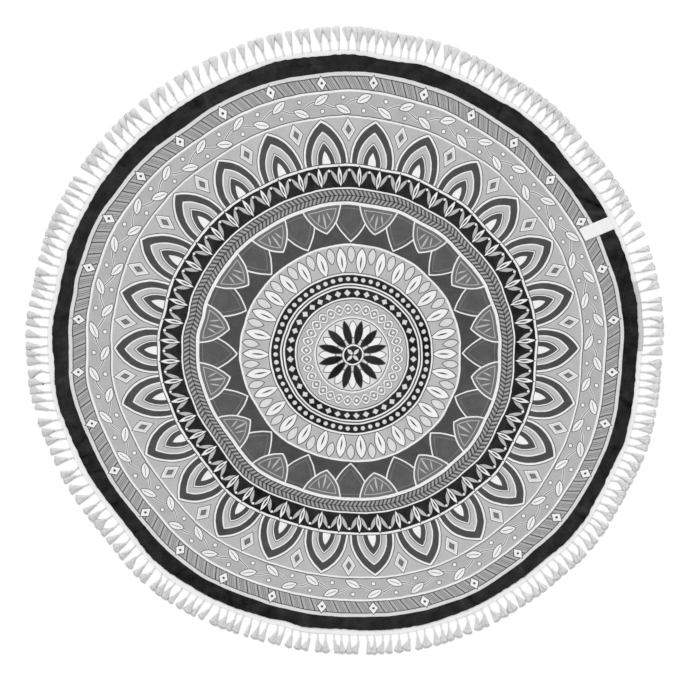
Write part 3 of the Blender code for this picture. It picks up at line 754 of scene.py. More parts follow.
WAVERS = ((70 * MM, 1.0, 4.5 * MM), (11 * MM, 0.0, 1.1 * MM))  # patch size, detail, reach


def draw_print(place):
    """The tone of the whole printed face, wavering a little as hand-inked lines do."""
    tree, wavered = place.id_data, place
    for size, detail, reach in WAVERS:
        shift = noise_at(place, size, detail, output="Color")
        centred = new_node(tree, "VectorMath", wavered, (reach / 2, reach / 2, 0), operation="SUBTRACT")
        moved = (shift, (reach, reach, 0), centred.outputs[0])
        wavered = new_node(tree, "VectorMath", *moved, operation="MULTIPLY_ADD").outputs[0]
    pen = Pen(*(part * MM_PER_M for part in first_two(wavered)))
    for draw in (draw_rope_ring, draw_garland, draw_arches, draw_sprigs, draw_herringbone,
                 draw_petals, draw_rays, draw_beads, draw_diamonds, draw_plait, draw_heart):
        draw(pen)
    return pen.tone


# ---------------------------------------------------------------- materials


class Fabric:
    """A material in the making."""

    def __init__(self, name, roughness, specular):
        self.material = bpy.data.materials.new(name)
        self.material.use_nodes = True
        self.tree = self.material.node_tree
        self.surface = self.tree.nodes["Principled BSDF"]
        self.surface.inputs["Roughness"].default_value = roughness
        self.surface.inputs["Specular IOR Level"].default_value = specular
        self.place = new_node(self.tree, "TexCoord").outputs["Object"]

    def noise(self, size, detail=2.0, roughness=0.5):
        return Value(noise_at(self.place, size, detail, roughness))

    def attribute(self, name, output="Fac"):
        return new_node(self.tree, "Attribute", attribute_name=name).outputs[output]

    def finish(self, tone, height=None, depth=None):
        """The material with its tone, and bumps if a height is given. A height of 1 is the depth."""
        feed(self.surface.inputs["Base Color"], tone)
        if height is not None:
            bump = new_node(self.tree, "Bump")
            bump.inputs["Distance"].default_value = depth
            bump.inputs["Strength"].default_value = 1.0
            feed(bump.inputs["Height"], height)
            feed(self.surface.inputs["Normal"], bump.outputs["Normal"])
        return self.material


def ribs(place, pitch):
    """A wave from 0 to 1 with a crest at every pitch."""
    return wave_of(place * (2 * math.pi / pitch)) * 0.5 + 0.5


def pale_floor():
    floor = Fabric("pale_floor", roughness=0.9, specular=0.1)
    return floor.finish(floor.noise(0.8, detail=1.0) * 0.01 + 0.955)


def printed_velour():
    """Sheared pile with the print, mottled lighter and darker by its nap, with painted sheen and painted
    shade from its creases and round its border.
    """
    velour = Fabric("printed_velour", roughness=0.95, specular=0.08)
    velour.surface.inputs["Sheen Weight"].default_value = 0.06
    velour.surface.inputs["Sheen Roughness"].default_value = 0.45
    printed = draw_print(velour.attribute("print_place", "Vector"))
    brushed = velour.noise(38 * MM, detail=3.0)
    tufts = velour.noise(4.5 * MM)
    pile = velour.noise(1.3 * MM, roughness=0.6)
    nap = brushed * 0.16 + tufts * 0.20 + pile * 0.24 + 0.70
    # Lighter patches in the darks: partly wear of the pile, partly painted sheen
    wear_and_sheen = larger(brushed * 0.6 + tufts * 0.4 - 0.46, 0.0) * 0.06
    cloudy = velour.noise(24 * MM) * 0.03 - 0.015
    # Painted shade in the troughs of the creases and painted sheen on their ridges, with painted light
    # and shade round the border
    shaded = Value(velour.attribute("shade")) * 0.006
    return velour.finish(printed * nap + wear_and_sheen + cloudy + shaded, pile + tufts * 0.8, 0.5 * MM)


def looped_terry():
    """The uncut white loops of the underside."""
    terry = Fabric("looped_terry", roughness=0.95, specular=0.1)
    loops = new_node(terry.tree, "TexVoronoi", terry.place)
    loops.inputs["Scale"].default_value = 1 / (2.4 * MM)
    crown = 1 - Value(loops.outputs["Distance"])
    tone = crown * 0.14 + terry.noise(30 * MM, detail=3.0) * 0.10 + 0.60
    return terry.finish(tone, crown, 1.2 * MM)


def woven_tape():
    """A ribbed cotton tape: ribs run along it, and its weft crosses them."""
    tape = Fabric("woven_tape", roughness=0.9, specular=0.15)
    along, across = first_two(tape.attribute("tape_place", "Vector"))
    rib, weft = ribs(across, 1.75 * MM), ribs(along, 1.1 * MM)
    clouds, grain = tape.noise(14 * MM, detail=3.0), tape.noise(2.2 * MM)
    weave = rib * 0.05 + weft * 0.03 + clouds * 0.12 + grain * 0.06 + 0.68
    return tape.finish(weave * Value(tape.attribute("tone")), rib * 0.6 + weft * 0.4, 0.25 * MM)


def cotton_yarn():
    """Soft undyed yarn, each strand with a tone of its own, which also carries painted shade and painted
    light.
    """
    yarn = Fabric("cotton_yarn", roughness=0.92, specular=0.12)
    fuzz = yarn.noise(1.2 * MM)
    return yarn.finish((fuzz * 0.08 + 0.77) * Value(yarn.attribute("tone")), fuzz, 0.3 * MM)


def sewing_thread(name, tone):
    thread = Fabric(name, roughness=0.6, specular=0.3)
    twist = thread.noise(0.7 * MM, detail=1.0)
    return thread.finish(twist * (0.4 * tone) + 0.8 * tone, twist, 0.1 * MM)


def woven_label():
    """A close satin weave, brighter and smoother than the tape."""
    satin = Fabric("woven_label", roughness=0.6, specular=0.3)
    along, across = first_two(satin.attribute("label_place", "Vector"))
    warp = ribs(across, 0.8 * MM)
    weft = wave_of(along * (2 * math.pi / (0.6 * MM)) + across * (2 * math.pi / (2.4 * MM)))
    weave = warp * 0.04 + weft * 0.02 + satin.noise(9 * MM) * 0.08 + 0.76
    return satin.finish(weave, warp * 0.5 + weft * 0.3, 0.12 * MM)


# ---------------------------------------------------------------- the cloth

FACE_BANDS = (
    # from which radius in mm, to which radius, and how many steps each ring there has
    (9, 57, 45),
    (69, 129, 90),
    (141, 249, 180),
    (261, 429, 360),
    (441, 585, 720),
)
FACE_SPACING = 12 * MM
UNDERSIDE_SPACING = 24 * MM
RIM_STEPS = 1440
RIM_FACE_INWARD = (
    89, 80, 71, 63, 56, 50, 44, 39, 34.5, 31, 28, 25.5, 23.5, 22, 21, 20, 19, 18, 16, 13, 10, 7.5, 6.2,
    5.5, 4.8, 3.4,
)  # mm
RIM_UNDER_INWARD = (4, 8, 12.5, 16, 19, 22)  # mm
EDGE_ROUNDING = 2.6 * MM
EDGE_ANGLES = (72, 48, 24, 0, -24, -48, -72)  # degrees above level, round the edge
EDGE_NUBS = swells((288.3, 2, 1.5))
EDGE_WANDER = 0.5 * MM
EDGE_JITTER = 0.2 * MM
EDGE_BUMPS_FADE = 8 * MM
FACE_RIPPLE = 0.35 * MM
FACE_JITTER = 0.1 * MM
CREASES_SEEN_UNDERNEATH = 0.6


def groove(inward, at, depth, width):
    return depth * np.exp(-(((inward - at) / width) ** 2))


def face_height(inward):
    """The height of the cloth's face before it is lifted, with the hem and its stitched grooves."""
    hem = (HEM_TOP - CLOTH_THICKNESS) * smooth_step(26 * MM, 16 * MM, inward)
    hem_groove = groove(inward, HEM_STITCHES_INWARD, 0.3 * MM, 1.6 * MM)
    tape_groove = groove(inward, TAPE_STITCHES_INWARD, 0.5 * MM, 1.2 * MM)
    return CLOTH_THICKNESS + hem - hem_groove - tape_groove


def underside_height(inward):
    return HEM_UNDERSIDE * smooth_step(22 * MM, 14 * MM, inward)


class Row(NamedTuple):
    """One ring of the cloth's mesh."""

    radius: float
    height: float
    steps: int
    on_face: float  # 1 on the face, 0 on the underside, and between on the edge


def band_rows(spacing, height, on_face):
    rows = []
    for inner, outer, steps in FACE_BANDS:
        inner, outer = inner * MM, outer * MM
        count = max(2, round((outer - inner) / spacing) + 1)
        rows += [Row(radius, height, steps, on_face) for radius in np.linspace(inner, outer, count)]
    return rows


def rim_rows(inwards, height_at, on_face):
    return [
        Row(EDGE_RADIUS - inward * MM, height_at(inward * MM), RIM_STEPS, on_face) for inward in inwards
    ]


def edge_rows():
    """Rings round the rounded edge, from its top to its underside."""
    middle = (HEM_TOP + HEM_UNDERSIDE) / 2
    half = (HEM_TOP - HEM_UNDERSIDE) / 2
    rows = []
    for angle in EDGE_ANGLES:
        turn = math.radians(angle)
        radius = EDGE_RADIUS - EDGE_ROUNDING * (1 - math.cos(turn))
        rows.append(Row(radius, middle + half * math.sin(turn), RIM_STEPS, 0.5 + 0.5 * math.sin(turn)))
    return rows


def print_place(place):
    """Where on the print a point of the laid towel falls: it drifts with the cloth, and creeps."""
    radius = np.linalg.norm(place[:, :2], axis=1)
    bearing = np.degrees(np.arctan2(place[:, 0], place[:, 1]))
    drift = swell_at(EDGE_SWELLS, bearing)
    drift = drift * smooth_step(PRINT_DRIFT_STARTS, PRINT_DRIFT_ENDS, radius)
    drift += swell_at(PRINT_SWAYS, bearing) * smooth_step(PRINT_SWAYS_START, PRINT_SWAYS_END, radius)
    flat = place - outward(bearing) * drift[:, None]
    share = radius / EDGE_RADIUS
    flat[:, 0] -= PRINT_CREPT_ACROSS * (1 - share)
    flat[:, 1] -= PRINT_CREPT_AT_RIM + PRINT_CREPT_ALONG * (1 - share**2)
    flat[:, 2] = 0
    return flat


def cloth_ring(row, jitter):
    """The laid points of one ring with relief, creases and an uneven pile edge, and the painted shade
    and sheen of its creases and border.
    """
    bearing = all_round(row.steps)
    bumps = EDGE_WANDER * wander(bearing, 90, 250, seed=11) + swell_at(EDGE_NUBS, bearing)
    bumps = bumps + EDGE_JITTER * jitter.standard_normal(row.steps)
    bumps = bumps * smooth_step(*LABEL_CALM, np.abs(turn_between(bearing, label_bearing(0))))
    bumps = bumps * math.exp(-(EDGE_RADIUS - row.radius) / EDGE_BUMPS_FADE)
    place = laid(bearing, row.radius + bumps, row.height)
    crease = crease_height(bearing, np.full(row.steps, row.radius))
    under = np.maximum(crease, 0) * CREASES_SEEN_UNDERNEATH
    place[:, 2] += row.on_face * crease + (1 - row.on_face) * under
    ripple = FACE_RIPPLE * rolling(place, 70 * MM, 170 * MM, seed=5)
    place[:, 2] += row.on_face * (ripple + FACE_JITTER * jitter.standard_normal(row.steps))
    # painted shade: darker in crease troughs, lighter on crease ridges as painted sheen, plus the
    # border's painted light and shade
    return place, crease / MM + swell_at(PAINTED_BORDER_LIGHT, bearing)


def bridge_faces(first, second):
    """Faces between two closed loops, the second with as many points or with twice as many."""
    if len(first) == len(second):
        return [np.stack([first, next_to(first), next_to(second), second], axis=1)]
    even, odd = second[0::2], second[1::2]
    return [
        np.stack([first, next_to(first), odd], axis=1),
        np.stack([first, odd, even], axis=1),
        np.stack([next_to(first), next_to(even), odd], axis=1),
    ]


def join_rings(shape, first, second):
    """Bridges two loops, of which either may have the more points."""
    if len(first) > len(second):
        batches = [faces[:, ::-1] for faces in bridge_faces(second, first)]
    else:
        batches = bridge_faces(first, second)
    for batch in batches:
        shape.add_faces(batch)


def add_fan_of_faces(shape, middle, ring, following):
    shape.add_faces(np.stack([np.full(len(ring), middle[0]), ring, following], axis=1))


BAKE_DISC = 0.497  # radius of the face's disc on the bake map
BAKE_CORNER = 0.072  # middle of the underside's small disc, near the map's corner
BAKE_SMALL_DISC = 0.064


def lay_out_bake_map(data, turned_rows, under_rows, printed):
    """A flat layout: the face and hem as one full disc, and the plain underside in a corner."""
    rows = [*turned_rows, *under_rows]
    section = [(0.0, CLOTH_THICKNESS), *((row.radius, row.height) for row in turned_rows)]
    arcs = np.cumsum(np.linalg.norm(np.diff(section, axis=0), axis=1)).tolist()
    arcs += arcs[-1:] * len(under_rows)
    steps = [row.steps for row in rows]
    middle = np.zeros((1, 2))
    turned = np.concatenate([middle, *(outward(all_round(step))[:, :2] for step in steps), middle])
    arc = np.concatenate([[0], np.repeat(arcs, steps), [0]])
    radius = np.concatenate([[0], np.repeat([row.radius for row in rows], steps), [0]])
    corners = np.empty(len(data.loops), dtype=np.int32)
    data.loops.foreach_get("vertex_index", corners)
    starts = np.empty(len(data.polygons), dtype=np.int32)
    data.polygons.foreach_get("loop_start", starts)
    places = 0.5 + turned[corners] * (arc[corners] / arc.max() * BAKE_DISC)[:, None]
    small = BAKE_CORNER + turned[corners] * (radius[corners] / EDGE_RADIUS * BAKE_SMALL_DISC)[:, None]
    places[starts[printed]:] = small[starts[printed]:]
    layout = data.uv_layers.new(name="OFBake")
    layout.data.foreach_set("uv", places.astype(np.float32).ravel())


def make_cloth():
    """A closed sheet with its printed face, turned hem and looped underside."""
    shape = Shape()
    jitter = np.random.default_rng(3)
    turned_rows = band_rows(FACE_SPACING, CLOTH_THICKNESS, 1)
    turned_rows += rim_rows(RIM_FACE_INWARD, face_height, 1) + edge_rows()
    turned_rows += rim_rows(RIM_UNDER_INWARD, underside_height, 0)
    under_rows = band_rows(UNDERSIDE_SPACING, 0.0, 0)[::-1]
    origin = {"print_place": print_place(np.zeros((1, 3))), "shade": 0.0}
    middle = shape.add_points([(0, 0, CLOTH_THICKNESS)], **origin)
    rings = []
    for row in (*turned_rows, *under_rows):
        place, shade = cloth_ring(row, jitter)
        rings.append(shape.add_points(place, print_place=print_place(place), shade=shade))
    add_fan_of_faces(shape, middle, next_to(rings[0]), rings[0])
    for number, (first, second) in enumerate(zip(rings, rings[1:]), start=1):
        join_rings(shape, first, second)
        if number == len(turned_rows) - 1:
            printed = len(shape.faces)
    under = shape.add_points([(0, 0, 0)], **origin)
    add_fan_of_faces(shape, under, rings[-1], next_to(rings[-1]))
    cloth = shape.make("cloth", printed_velour(), looped_terry())
    kinds = np.arange(len(shape.faces)) >= printed
    cloth.data.polygons.foreach_set("material_index", kinds.astype(np.int32))
    lay_out_bake_map(cloth.data, turned_rows, under_rows, printed)
    return cloth


# ---------------------------------------------------------------- the tape

TAPE_STEPS = 720
TAPE_TOP = tuple(np.linspace(-7.6, 12.4, 25))  # mm outwards from the cloth's edge
TAPE_RIB = 0.1 * MM
TAPE_EDGE_WANDER = 0.45 * MM
LAP_STEPS = 56
LAP_TOP = tuple(np.linspace(-1.2, 12.2, 14))  # mm outwards
LAP_RIB = 0.06 * MM


def ribbed(outs, height, rib):
    """The top of a section as (outwards, height) pairs, every second one a little lower."""
    return [(out * MM, height - rib * (number % 2)) for number, out in enumerate(outs)]


def tape_section():
    """The tape's closed section as (outwards, height) pairs, with shallow ribs on its top."""
    outer = [(12.9 * MM, 0.95 * MM), (TAPE_SHOWN, 0.6 * MM), (12.9 * MM, 0.25 * MM)]
    under = [(out * MM, 0.02 * MM) for out in (12.3, 3.0, -7.5)]
    inner = [(-TAPE_HIDDEN, 0.3 * MM), (-TAPE_HIDDEN, 0.9 * MM)]
    return ribbed(TAPE_TOP, TAPE_THICKNESS, TAPE_RIB) + outer + under + inner


def lap_section():
    low = TAPE_THICKNESS + 0.02 * MM
    top = ribbed(LAP_TOP, TAPE_THICKNESS + LAP_THICKNESS, LAP_RIB)
    return top + [(12.6 * MM, low), (-1.4 * MM, low)]


def add_tape_run(shape, bearings, section, tone, closed):
    """A run of tape along some bearings, closed on itself or capped at both ends."""
    wobble = TAPE_EDGE_WANDER * wander(bearings, 30, 110, seed=21)
    tones = tone - swell_at(TAPE_SMUDGES, bearings)
    along = np.radians(bearings) * EDGE_RADIUS
    loops = []
    for out, height in section:
        shift = wobble * np.clip(out / TAPE_SHOWN, 0, 1)
        place = laid(bearings, EDGE_RADIUS + out + shift, height)
        flat = np.stack([along, np.full_like(along, out), np.zeros_like(along)], axis=1)
        loops.append(shape.add_points(place, tape_place=flat, tone=tones))
    loops = np.array(loops)
    quads = np.stack([loops, next_to(loops, 1), next_to(next_to(loops), 1), next_to(loops)], axis=-1)
    if not closed:
        quads = quads[:, :-1]
        shape.add_faces([loops[:, 0].tolist(), loops[::-1, -1].tolist()], smooth=False)
    shape.add_faces(quads.reshape(-1, 4))


def make_tape():
    shape = Shape()
    add_tape_run(shape, all_round(TAPE_STEPS), tape_section(), 1.0, closed=True)
    lap = np.linspace(LAP_FROM, LAP_TO, LAP_STEPS)
    add_tape_run(shape, lap, lap_section(), LAP_TONE, closed=False)
    return shape.make("edge_tape", woven_tape())


# ---------------------------------------------------------------- tubes of yarn and thread


def unit(vectors):
    return vectors / np.linalg.norm(vectors, axis=-1, keepdims=True)


def add_tubes(shape, paths, radii, sides, reference, tone):
    """Capped tubes round many paths, an array of (tube, point, xyz).

    The reference is a direction that no path follows.
    """
    ahead = unit(np.gradient(paths, axis=1))
    side = unit(np.cross(ahead, reference))
    over = np.cross(side, ahead)
    turn = 2 * np.pi * np.arange(sides) / sides
    ring = side[..., None, :] * np.cos(turn)[:, None] + over[..., None, :] * np.sin(turn)[:, None]
    points = paths[..., None, :] + ring * np.broadcast_to(radii, paths.shape[:2])[..., None, None]
    tones = np.repeat(np.broadcast_to(tone, paths.shape[:2]).ravel(), sides)
    numbers = shape.add_points(points, tone=tones).reshape(points.shape[:3])
    near, far = numbers[:, :-1], numbers[:, 1:]
    walls = np.stack([far, next_to(far, 2), next_to(near, 2), near], axis=-1)
    shape.add_faces(walls.reshape(-1, 4))
    shape.add_faces(np.concatenate([numbers[:, 0], numbers[:, -1, ::-1]]), smooth=False)


# ---------------------------------------------------------------- the tassels

UP = np.array([0.0, 0.0, 1.0])
QUADRANTS = ("upper_right", "lower_right", "lower_left", "upper_left")
FIRST_SEED = 1000

NECK_POINTS = 12
NECK_TWISTS = 2.3
NECK_PLY_RADIUS = 1.2 * MM
NECK_HEIGHT = 2.15  # mm, and so are the next two
NECK_RISE = 0.8
NECK_SWING = 0.95
NECK_TONE = 0.93

WRAP_POINTS = 28
WRAP_TURNS = 2.7
WRAP_LENGTH = 4.2  # mm, and so are the next three
WRAP_HEIGHT = 2.35
WRAP_HALF_HEIGHT = 1.35
WRAP_HALF_WIDTH = 1.8
WRAP_YARN_RADIUS = 0.85 * MM
# the knot's wraps are darker than the fan: painted shade
WRAP_TONE = 0.84
LOOSE_END_RADIUS = 0.3 * MM
LOOSE_END_TONE = 0.9

FAN_STRANDS = 84
FAN_STATIONS = np.array([[0.0, 0.12, 0.3, 0.53, 0.77, 1.0]])  # shares of the way to the tip
FAN_RADII = np.array([0.5, 0.58, 0.62, 0.64, 0.64, 0.5]) * MM
FAN_CORNERS_SHORTER = 1.2 * MM
FAN_HALF_WIDTH_AT_KNOT = 1.7  # mm, and so are the next four
FAN_SWAY = 0.4
FAN_HEIGHT_AT_KNOT = 2.9
FAN_HEIGHT_AT_TIP = 2.4
FAN_LOWEST = 0.6

STRAY_RADIUS = 0.16 * MM
STRAY_HEIGHT = 1.6  # mm
STRAY_TONE = 0.98

LOOSE_THREADS = (
    # its start and its end, each a bearing and mm out of the cloth's edge; its radius in mm; its tone
    (11.95, 33, 11.3, 34.5, 0.8, 0.95),
    (13.8, 58, 14.25, 58, 0.6, 0.95),
    (51.85, 31, 51.2, 33.5, 0.6, 1.0),
    (79.7, 51, 80.5, 56, 0.45, 1.0),
    (124.0, 45.5, 124.65, 52, 0.6, 1.0),
    (136.9, 39.5, 137.5, 46, 0.6, 1.0),
    (137.8, 34, 138.15, 32.5, 0.6, 0.95),
    (182.3, 45.5, 183.2, 51.5, 0.6, 1.0),
    (214.0, 22.5, 213.65, 19.5, 1.0, 0.95),
    (223.0, 47.5, 223.75, 54, 0.6, 1.0),
    (262.35, 29, 262.6, 26.5, 1.0, 0.05),
    (262.4, 27, 262.65, 28.5, 0.7, 0.05),
    (265.35, 46, 266.1, 45, 0.5, 1.0),
    (324.5, 26, 325.05, 21, 0.6, 1.0),
    (356.8, 36, 357.35, 34, 0.6, 0.95),
)


def reach_out(length, turn, radius):
    """How far out a strand gets if it also goes sideways by some degrees at a radius."""
    return np.sqrt(length**2 - (np.radians(turn) * radius) ** 2)


def standing(bearing, radius, above, across=0.0):
    """Points by bearing and radius. How high they are, and how far aside, is in millimetres."""
    bearing, radius, above, across = np.broadcast_arrays(bearing, radius, above, across)
    turned = bearing + np.degrees(across * MM / radius)
    return outward(turned) * radius[..., None] + UP * (above * MM)[..., None]


def laid_radius(bearing, out):
    """How far from the middle a place lies that is some way out of the cloth's edge."""
    return np.linalg.norm(laid(bearing, EDGE_RADIUS + out, 0.0)[:2])


class Tassel:
    """One tassel as it lies: its root and knot, the corners of its tip, and its own chance."""

    def __init__(self, index):
        self.root, self.knot, self.left, self.right = TASSEL_ROWS[index]
        before, after = TASSEL_ROWS[index - 1], TASSEL_ROWS[(index + 1) % len(TASSEL_ROWS)]
        self.touches_left = turn_between(self.left, before[3]) < TOUCHING_TURN
        self.touches_right = turn_between(after[2], self.right) < TOUCHING_TURN
        self.draw = np.random.default_rng(FIRST_SEED + index)
        self.start = laid_radius(self.root, TAPE_SHOWN)
        self.longer = 1 + LONGER_SIDE_SHARE * math.cos(math.radians(self.root - LONGER_SIDE_BEARING))
        lean = self.knot - self.root
        self.knot_out = self.start + reach_out(NECK_LENGTH * self.longer, lean, self.start)
        self.tone = LAP_NECK_TONE if LAP_FROM < self.root < LAP_TO else 1.0


def add_neck(shape, tassel):
    """Two plies of cord, twisted, out of the tape's edge as far as the knot."""
    share = np.linspace(0, 1, NECK_POINTS)
    plies = np.array([[0.0], [0.5]])
    turn = 2 * np.pi * (NECK_TWISTS * share + plies + tassel.draw.uniform())
    inner, outer = tassel.start - 2.5 * MM, tassel.knot_out + 1 * MM
    bearing = tassel.root + (tassel.knot - tassel.root) * smooth_step(-0.2, 1.05, share)
    above = NECK_HEIGHT + NECK_RISE * share + NECK_SWING * np.sin(turn)
    paths = standing(bearing, inner + (outer - inner) * share, above, NECK_SWING * np.cos(turn))
    thickness = NECK_PLY_RADIUS * smooth_step(-0.4, 0.12, share)
    side = outward(tassel.root + 90.0)
    add_tubes(shape, paths, thickness, 5, side + UP * 0.3, NECK_TONE * tassel.tone)


def add_knot(shape, tassel):
    """Yarn wound round the top of the fan, with two short loose ends."""
    draw = tassel.draw
    share = np.linspace(0, 1, WRAP_POINTS)
    turn = 2 * np.pi * (WRAP_TURNS * share + draw.uniform())
    swell = 1 + 0.12 * np.sin(np.pi * share)
    radius = tassel.knot_out + (WRAP_LENGTH * share - WRAP_LENGTH / 2) * MM
    above = WRAP_HEIGHT + WRAP_HALF_HEIGHT * swell * np.sin(turn)
    path = standing(tassel.knot, radius, above, WRAP_HALF_WIDTH * swell * np.cos(turn))
    thickness = WRAP_YARN_RADIUS * smooth_step(-0.05, 0.12, np.minimum(share, 1 - share))
    add_tubes(shape, path[None], thickness, 4, outward(tassel.knot * 1.0), WRAP_TONE)
    steps = np.linspace(0, 1, 4)
    reach = draw.uniform(1.0, 4.0, 2)[:, None] * np.array([[-1], [1]])
    aside = reach * steps + np.sign(reach) * 2.0
    out = draw.uniform(-3.0, 2.0, 2)[:, None] + np.outer(draw.uniform(-1.5, 2.5, 2), steps**2)
    ends = standing(tassel.knot, tassel.knot_out + out * MM, 2.6 + 0.5 * np.sin(steps * 3), aside)
    add_tubes(shape, ends, LOOSE_END_RADIUS * (1 - 0.4 * steps), 3, UP, LOOSE_END_TONE)


def add_fan(shape, tassel):
    """The loose yarns, all about as long, spread flat on the surface from the knot."""
    draw = tassel.draw
    overlap = draw.uniform(0.04, 0.14, 2)
    left = tassel.left - overlap[0] * tassel.touches_left
    right = tassel.right + overlap[1] * tassel.touches_right
    # where each yarn lies: from -1 to 1 across the knot, over the others, and across the tip
    at_knot = np.sort(draw.uniform(-1, 1, FAN_STRANDS))[:, None]
    over = draw.uniform(-1, 1, (FAN_STRANDS, 1)) * np.sqrt(1 - 0.8 * at_knot**2)
    side = np.sort(draw.uniform(-1, 1, FAN_STRANDS))[:, None]
    tip = (left + right) / 2 + side * (right - left) / 2
    # how long it is
    longer = 0.4 * over - draw.uniform(-0.25, 0.45, (FAN_STRANDS, 1))
    length = FAN_LENGTH * tassel.longer + longer * MM
    out = reach_out(length, tip - tassel.knot, FAN_TIP_RADIUS) - FAN_CORNERS_SHORTER * side**4
    # how soon it spreads: a side that touches the next tassel meets it before the tip
    share = FAN_STATIONS
    meets = np.where(side < 0, tassel.touches_left, tassel.touches_right)
    met_at = np.where(side < 0, *draw.uniform(0.6, 1.05, 2))
    spread = share + meets * np.abs(side) * (np.minimum(share / met_at, 1) ** 1.3 - share)
    phase = draw.uniform(0, 1, (FAN_STRANDS, 1))
    sway = FAN_SWAY * np.sin(2 * np.pi * (share * 1.7 + phase)) * share
    across = at_knot * FAN_HALF_WIDTH_AT_KNOT * (1 - spread) + sway
    bearing = tassel.knot + (tip - tassel.knot) * spread
    # how high it lies: round in section near the knot, and flatter at the tip
    crown = (FAN_HEIGHT_AT_TIP + over * 0.8) * (1 - 0.5 * side**2)
    above = FAN_HEIGHT_AT_KNOT + over * 1.4 * (1 - share) + (crown - FAN_HEIGHT_AT_KNOT) * share
    flatter = 1 - 0.5 * smooth_step(0.3, 1, share)
    rounded = (1.3 - 1.7 * side**2) * smooth_step(-0.05, 0.25, share) * flatter
    above = np.maximum(above + rounded, FAN_LOWEST)
    paths = standing(bearing, tassel.knot_out + out * share, above, across)
    # its tone: darker at the knot as painted shade, lighter towards the tip as painted light, and darker
    # where the next tassel lies over it as painted shade; each strand's own tone differs a little at
    # random
    lit = 0.9 + 0.06 * smooth_step(0, 0.3, share) + 0.11 * smooth_step(0.6, 0.95, share)
    tones = draw.uniform(0.94, 1.0, (FAN_STRANDS, 1)) * lit
    overlap_shade_depth = np.where(side < 0, *draw.uniform(0.0, 0.65, 2))
    shade_where_overlaid = meets * overlap_shade_depth * smooth_step(0.7, 1, np.abs(side))
    shaded = smooth_step(0.4, 0.7, share) * (1 - 0.5 * smooth_step(0.7, 1, share))
    add_tubes(shape, paths, FAN_RADII, 3, UP, tones * (1 - shade_where_overlaid * shaded))


def add_strays(shape, tassel):
    """A few thin fibres that stand out from the fan's sides and tip."""
    draw, steps = tassel.draw, np.linspace(0, 1, 4)
    side = draw.choice([-1, 1], (2, 1))
    share = draw.uniform(0.25, 0.8, (2, 1))
    edge = np.where(side < 0, tassel.left, tassel.right)
    bearing = tassel.knot + (edge - tassel.knot) * (share + 0.15 * steps)
    out = FAN_LENGTH * tassel.longer * (share + 0.2 * steps)
    across = side * draw.uniform(0.5, 3.5, (2, 1)) * steps**1.5
    paths = standing(bearing, tassel.knot_out + out, STRAY_HEIGHT, across)
    add_tubes(shape, paths, STRAY_RADIUS, 3, UP, STRAY_TONE)


def add_loose_thread(shape, index):
    """A thread that bows a little between its two ends."""
    bearing, out, end_bearing, end_out, radius, tone = LOOSE_THREADS[index]
    share = np.linspace(0, 1, 9)
    bow = 1.1 * MM * np.sin(np.pi * share) * (-1) ** index
    first = laid_radius(bearing, 0.0) + out * MM
    last = laid_radius(end_bearing, 0.0) + end_out * MM
    above = 1.9 + 1.2 * np.sin(np.pi * share)
    bearings = bearing + (end_bearing - bearing) * share
    path = standing(bearings, first + (last - first) * share + bow, above)
    add_tubes(shape, path[None], radius * MM * (1 - 0.5 * share**2), 4, UP, tone)


def make_tassels():
    """Four pieces, one for each quarter of the edge."""
    quarters = [Shape() for _ in QUADRANTS]
    for index in range(len(TASSEL_ROWS)):
        tassel = Tassel(index)
        for add in (add_neck, add_knot, add_fan, add_strays):
            add(quarters[int(tassel.root // 90)], tassel)
    for index, thread in enumerate(LOOSE_THREADS):
        add_loose_thread(quarters[int(thread[0] // 90)], index)
    material = cotton_yarn()
    return [shape.make("tassels_" + name, material) for shape, name in zip(quarters, QUADRANTS)]


# ---------------------------------------------------------------- the label and the sewing

LABEL_SHEET = 0.7 * MM
LABEL_CLEARANCE = 0.45 * MM  # over the cloth's face
LABEL_COLUMNS = 13
LABEL_INWARD = (77, 75, 72, 67, 61, 54, 47, 40, 34, 29, 26, 23, 20, 17, 13, 9, 6, 4, 2.2)  # mm
LABEL_END_CURL = 0.9 * MM
LABEL_SIDE_CURL = 0.35 * MM
LABEL_RIPPLE = 0.25 * MM
LABEL_STITCHES_INWARD = (8 * MM, 14 * MM)


def label_section():
    """The label's underside as (inward, height) pairs, from its loose end down to the tape."""
    inward = np.array(LABEL_INWARD) * MM
    curl = LABEL_END_CURL * smooth_step(LABEL_REACH - 8 * MM, LABEL_REACH, inward)
    section = list(zip(inward, face_height(inward) + LABEL_CLEARANCE + curl))
    section += [(0.3 * MM, HEM_TOP - 0.2 * MM), (-0.6 * MM, 3.6 * MM)]
    section += [(-0.9 * MM, TAPE_THICKNESS + 0.6 * MM)]
    return np.array(section)


def raised(section, rise):
    """The section moved square to itself, upwards and outwards."""
    run = np.gradient(section, axis=0)
    return section + unit(np.stack([-run[:, 1], -run[:, 0]], axis=1)) * rise


def make_label():
    """One sheet, bare, which leans a little and curls up at its loose end and its sides."""
    shape = Shape()
    under = label_section()
    over = raised(under, LABEL_SHEET)
    outline = np.concatenate([over, under[::-1]])
    travelled = np.concatenate([[0], np.cumsum(np.linalg.norm(np.diff(over, axis=0), axis=1))])
    along = np.concatenate([travelled, travelled[::-1]])
    radius = EDGE_RADIUS - outline[:, 0]
    half_width = LABEL_WIDTH / 2
    loops = []
    for column in np.linspace(-half_width, half_width, LABEL_COLUMNS):
        bearing = label_bearing(outline[:, 0]) + np.degrees(column / radius)
        side_curl = LABEL_SIDE_CURL * (abs(column) / half_width) ** 4
        ripple = LABEL_RIPPLE * np.sin(along / (11 * MM) + column / (7 * MM))
        place = laid(bearing, radius, outline[:, 1] + side_curl + np.maximum(ripple, 0))
        flat = np.stack([along, np.full_like(along, column), np.zeros_like(along)], axis=1)
        loops.append(shape.add_points(place, label_place=flat))
    for first, second in zip(loops, loops[1:]):
        shape.add_faces(np.stack([first, next_to(first), next_to(second), second], axis=1))
    shape.add_faces([loops[0][::-1].tolist(), loops[-1].tolist()], smooth=False)
    return shape.make("plain_label", woven_label())


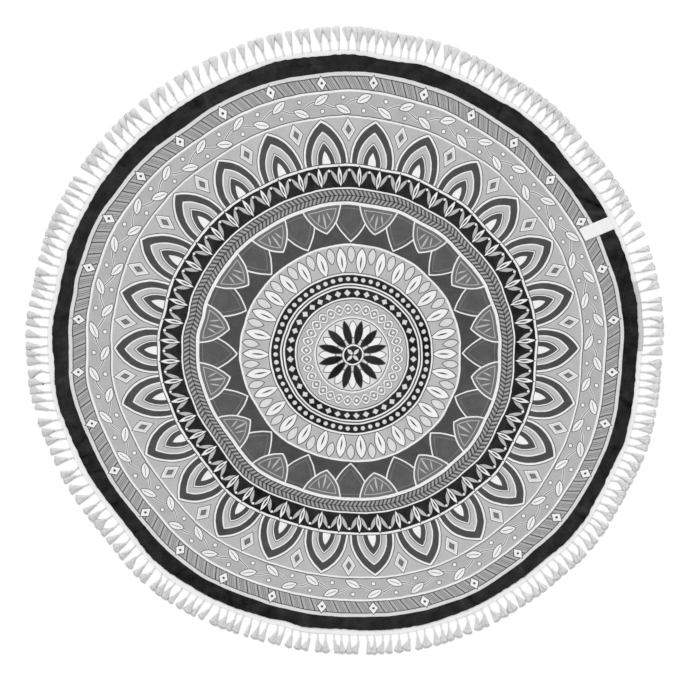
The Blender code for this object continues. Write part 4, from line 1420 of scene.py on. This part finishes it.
STITCH_SHAPE = (
    # share of the stitch's length, height above the face in mm, thickness in mm
    (0.00, -0.35, 0.20),
    (0.22, 0.18, 0.30),
    (0.50, 0.30, 0.32),
    (0.78, 0.18, 0.30),
    (1.00, -0.35, 0.20),
)


def add_stitches(shape, bearings, inward, length, rise=0.0):
    """A row of stitches that follow the edge, each a short thread sunk at both ends."""
    share, above, radius = (np.array(column) for column in zip(*STITCH_SHAPE))
    turn = np.degrees(length / (EDGE_RADIUS - inward)) * (share - 0.5)
    bearing = bearings[:, None] + turn[None, :]
    at = np.full(bearing.shape, EDGE_RADIUS - inward)
    height = face_height(inward) + rise + crease_height(bearing, at) + above * MM
    add_tubes(shape, laid(bearing, at, height), radius * MM, 3, UP, 1.0)


def make_hem_stitching():
    """Two rows in black thread: one holds the hem down, and one holds the tape."""
    shape = Shape()
    for inward in (HEM_STITCHES_INWARD, TAPE_STITCHES_INWARD):
        count = round(2 * math.pi * (EDGE_RADIUS - inward) / STITCH_PITCH)
        add_stitches(shape, all_round(count), inward, STITCH_LENGTH)
    return shape.make("hem_stitching", sewing_thread("black_thread", 0.018))


def make_label_stitching():
    """Two short rows across the label where it crosses the hem."""
    shape = Shape()
    half_turn = np.degrees((LABEL_WIDTH / 2 - 2 * MM) / EDGE_RADIUS)
    for inward in LABEL_STITCHES_INWARD:
        bearings = label_bearing(inward) + np.linspace(-half_turn, half_turn, 9)
        over_label = LABEL_CLEARANCE + LABEL_SHEET + 0.1 * MM
        add_stitches(shape, bearings, inward, LABEL_STITCH_LENGTH, over_label)
    return shape.make("label_stitching", sewing_thread("white_thread", 0.74))


# ---------------------------------------------------------------- the whole towel


def main():
    make_camera()
    make_light()
    floor = make_floor()
    cloth = make_cloth()
    tape = make_tape()
    tassels = make_tassels()
    label = make_label()
    hem_stitching = make_hem_stitching()
    label_stitching = make_label_stitching()
    for piece in (cloth, tape, *tassels, label, hem_stitching, label_stitching):
        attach(piece, "root")
    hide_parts("towel_cloth")
    for piece in (tape, *tassels):
        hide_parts("tassel_trim")
    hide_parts("side_label")


main()
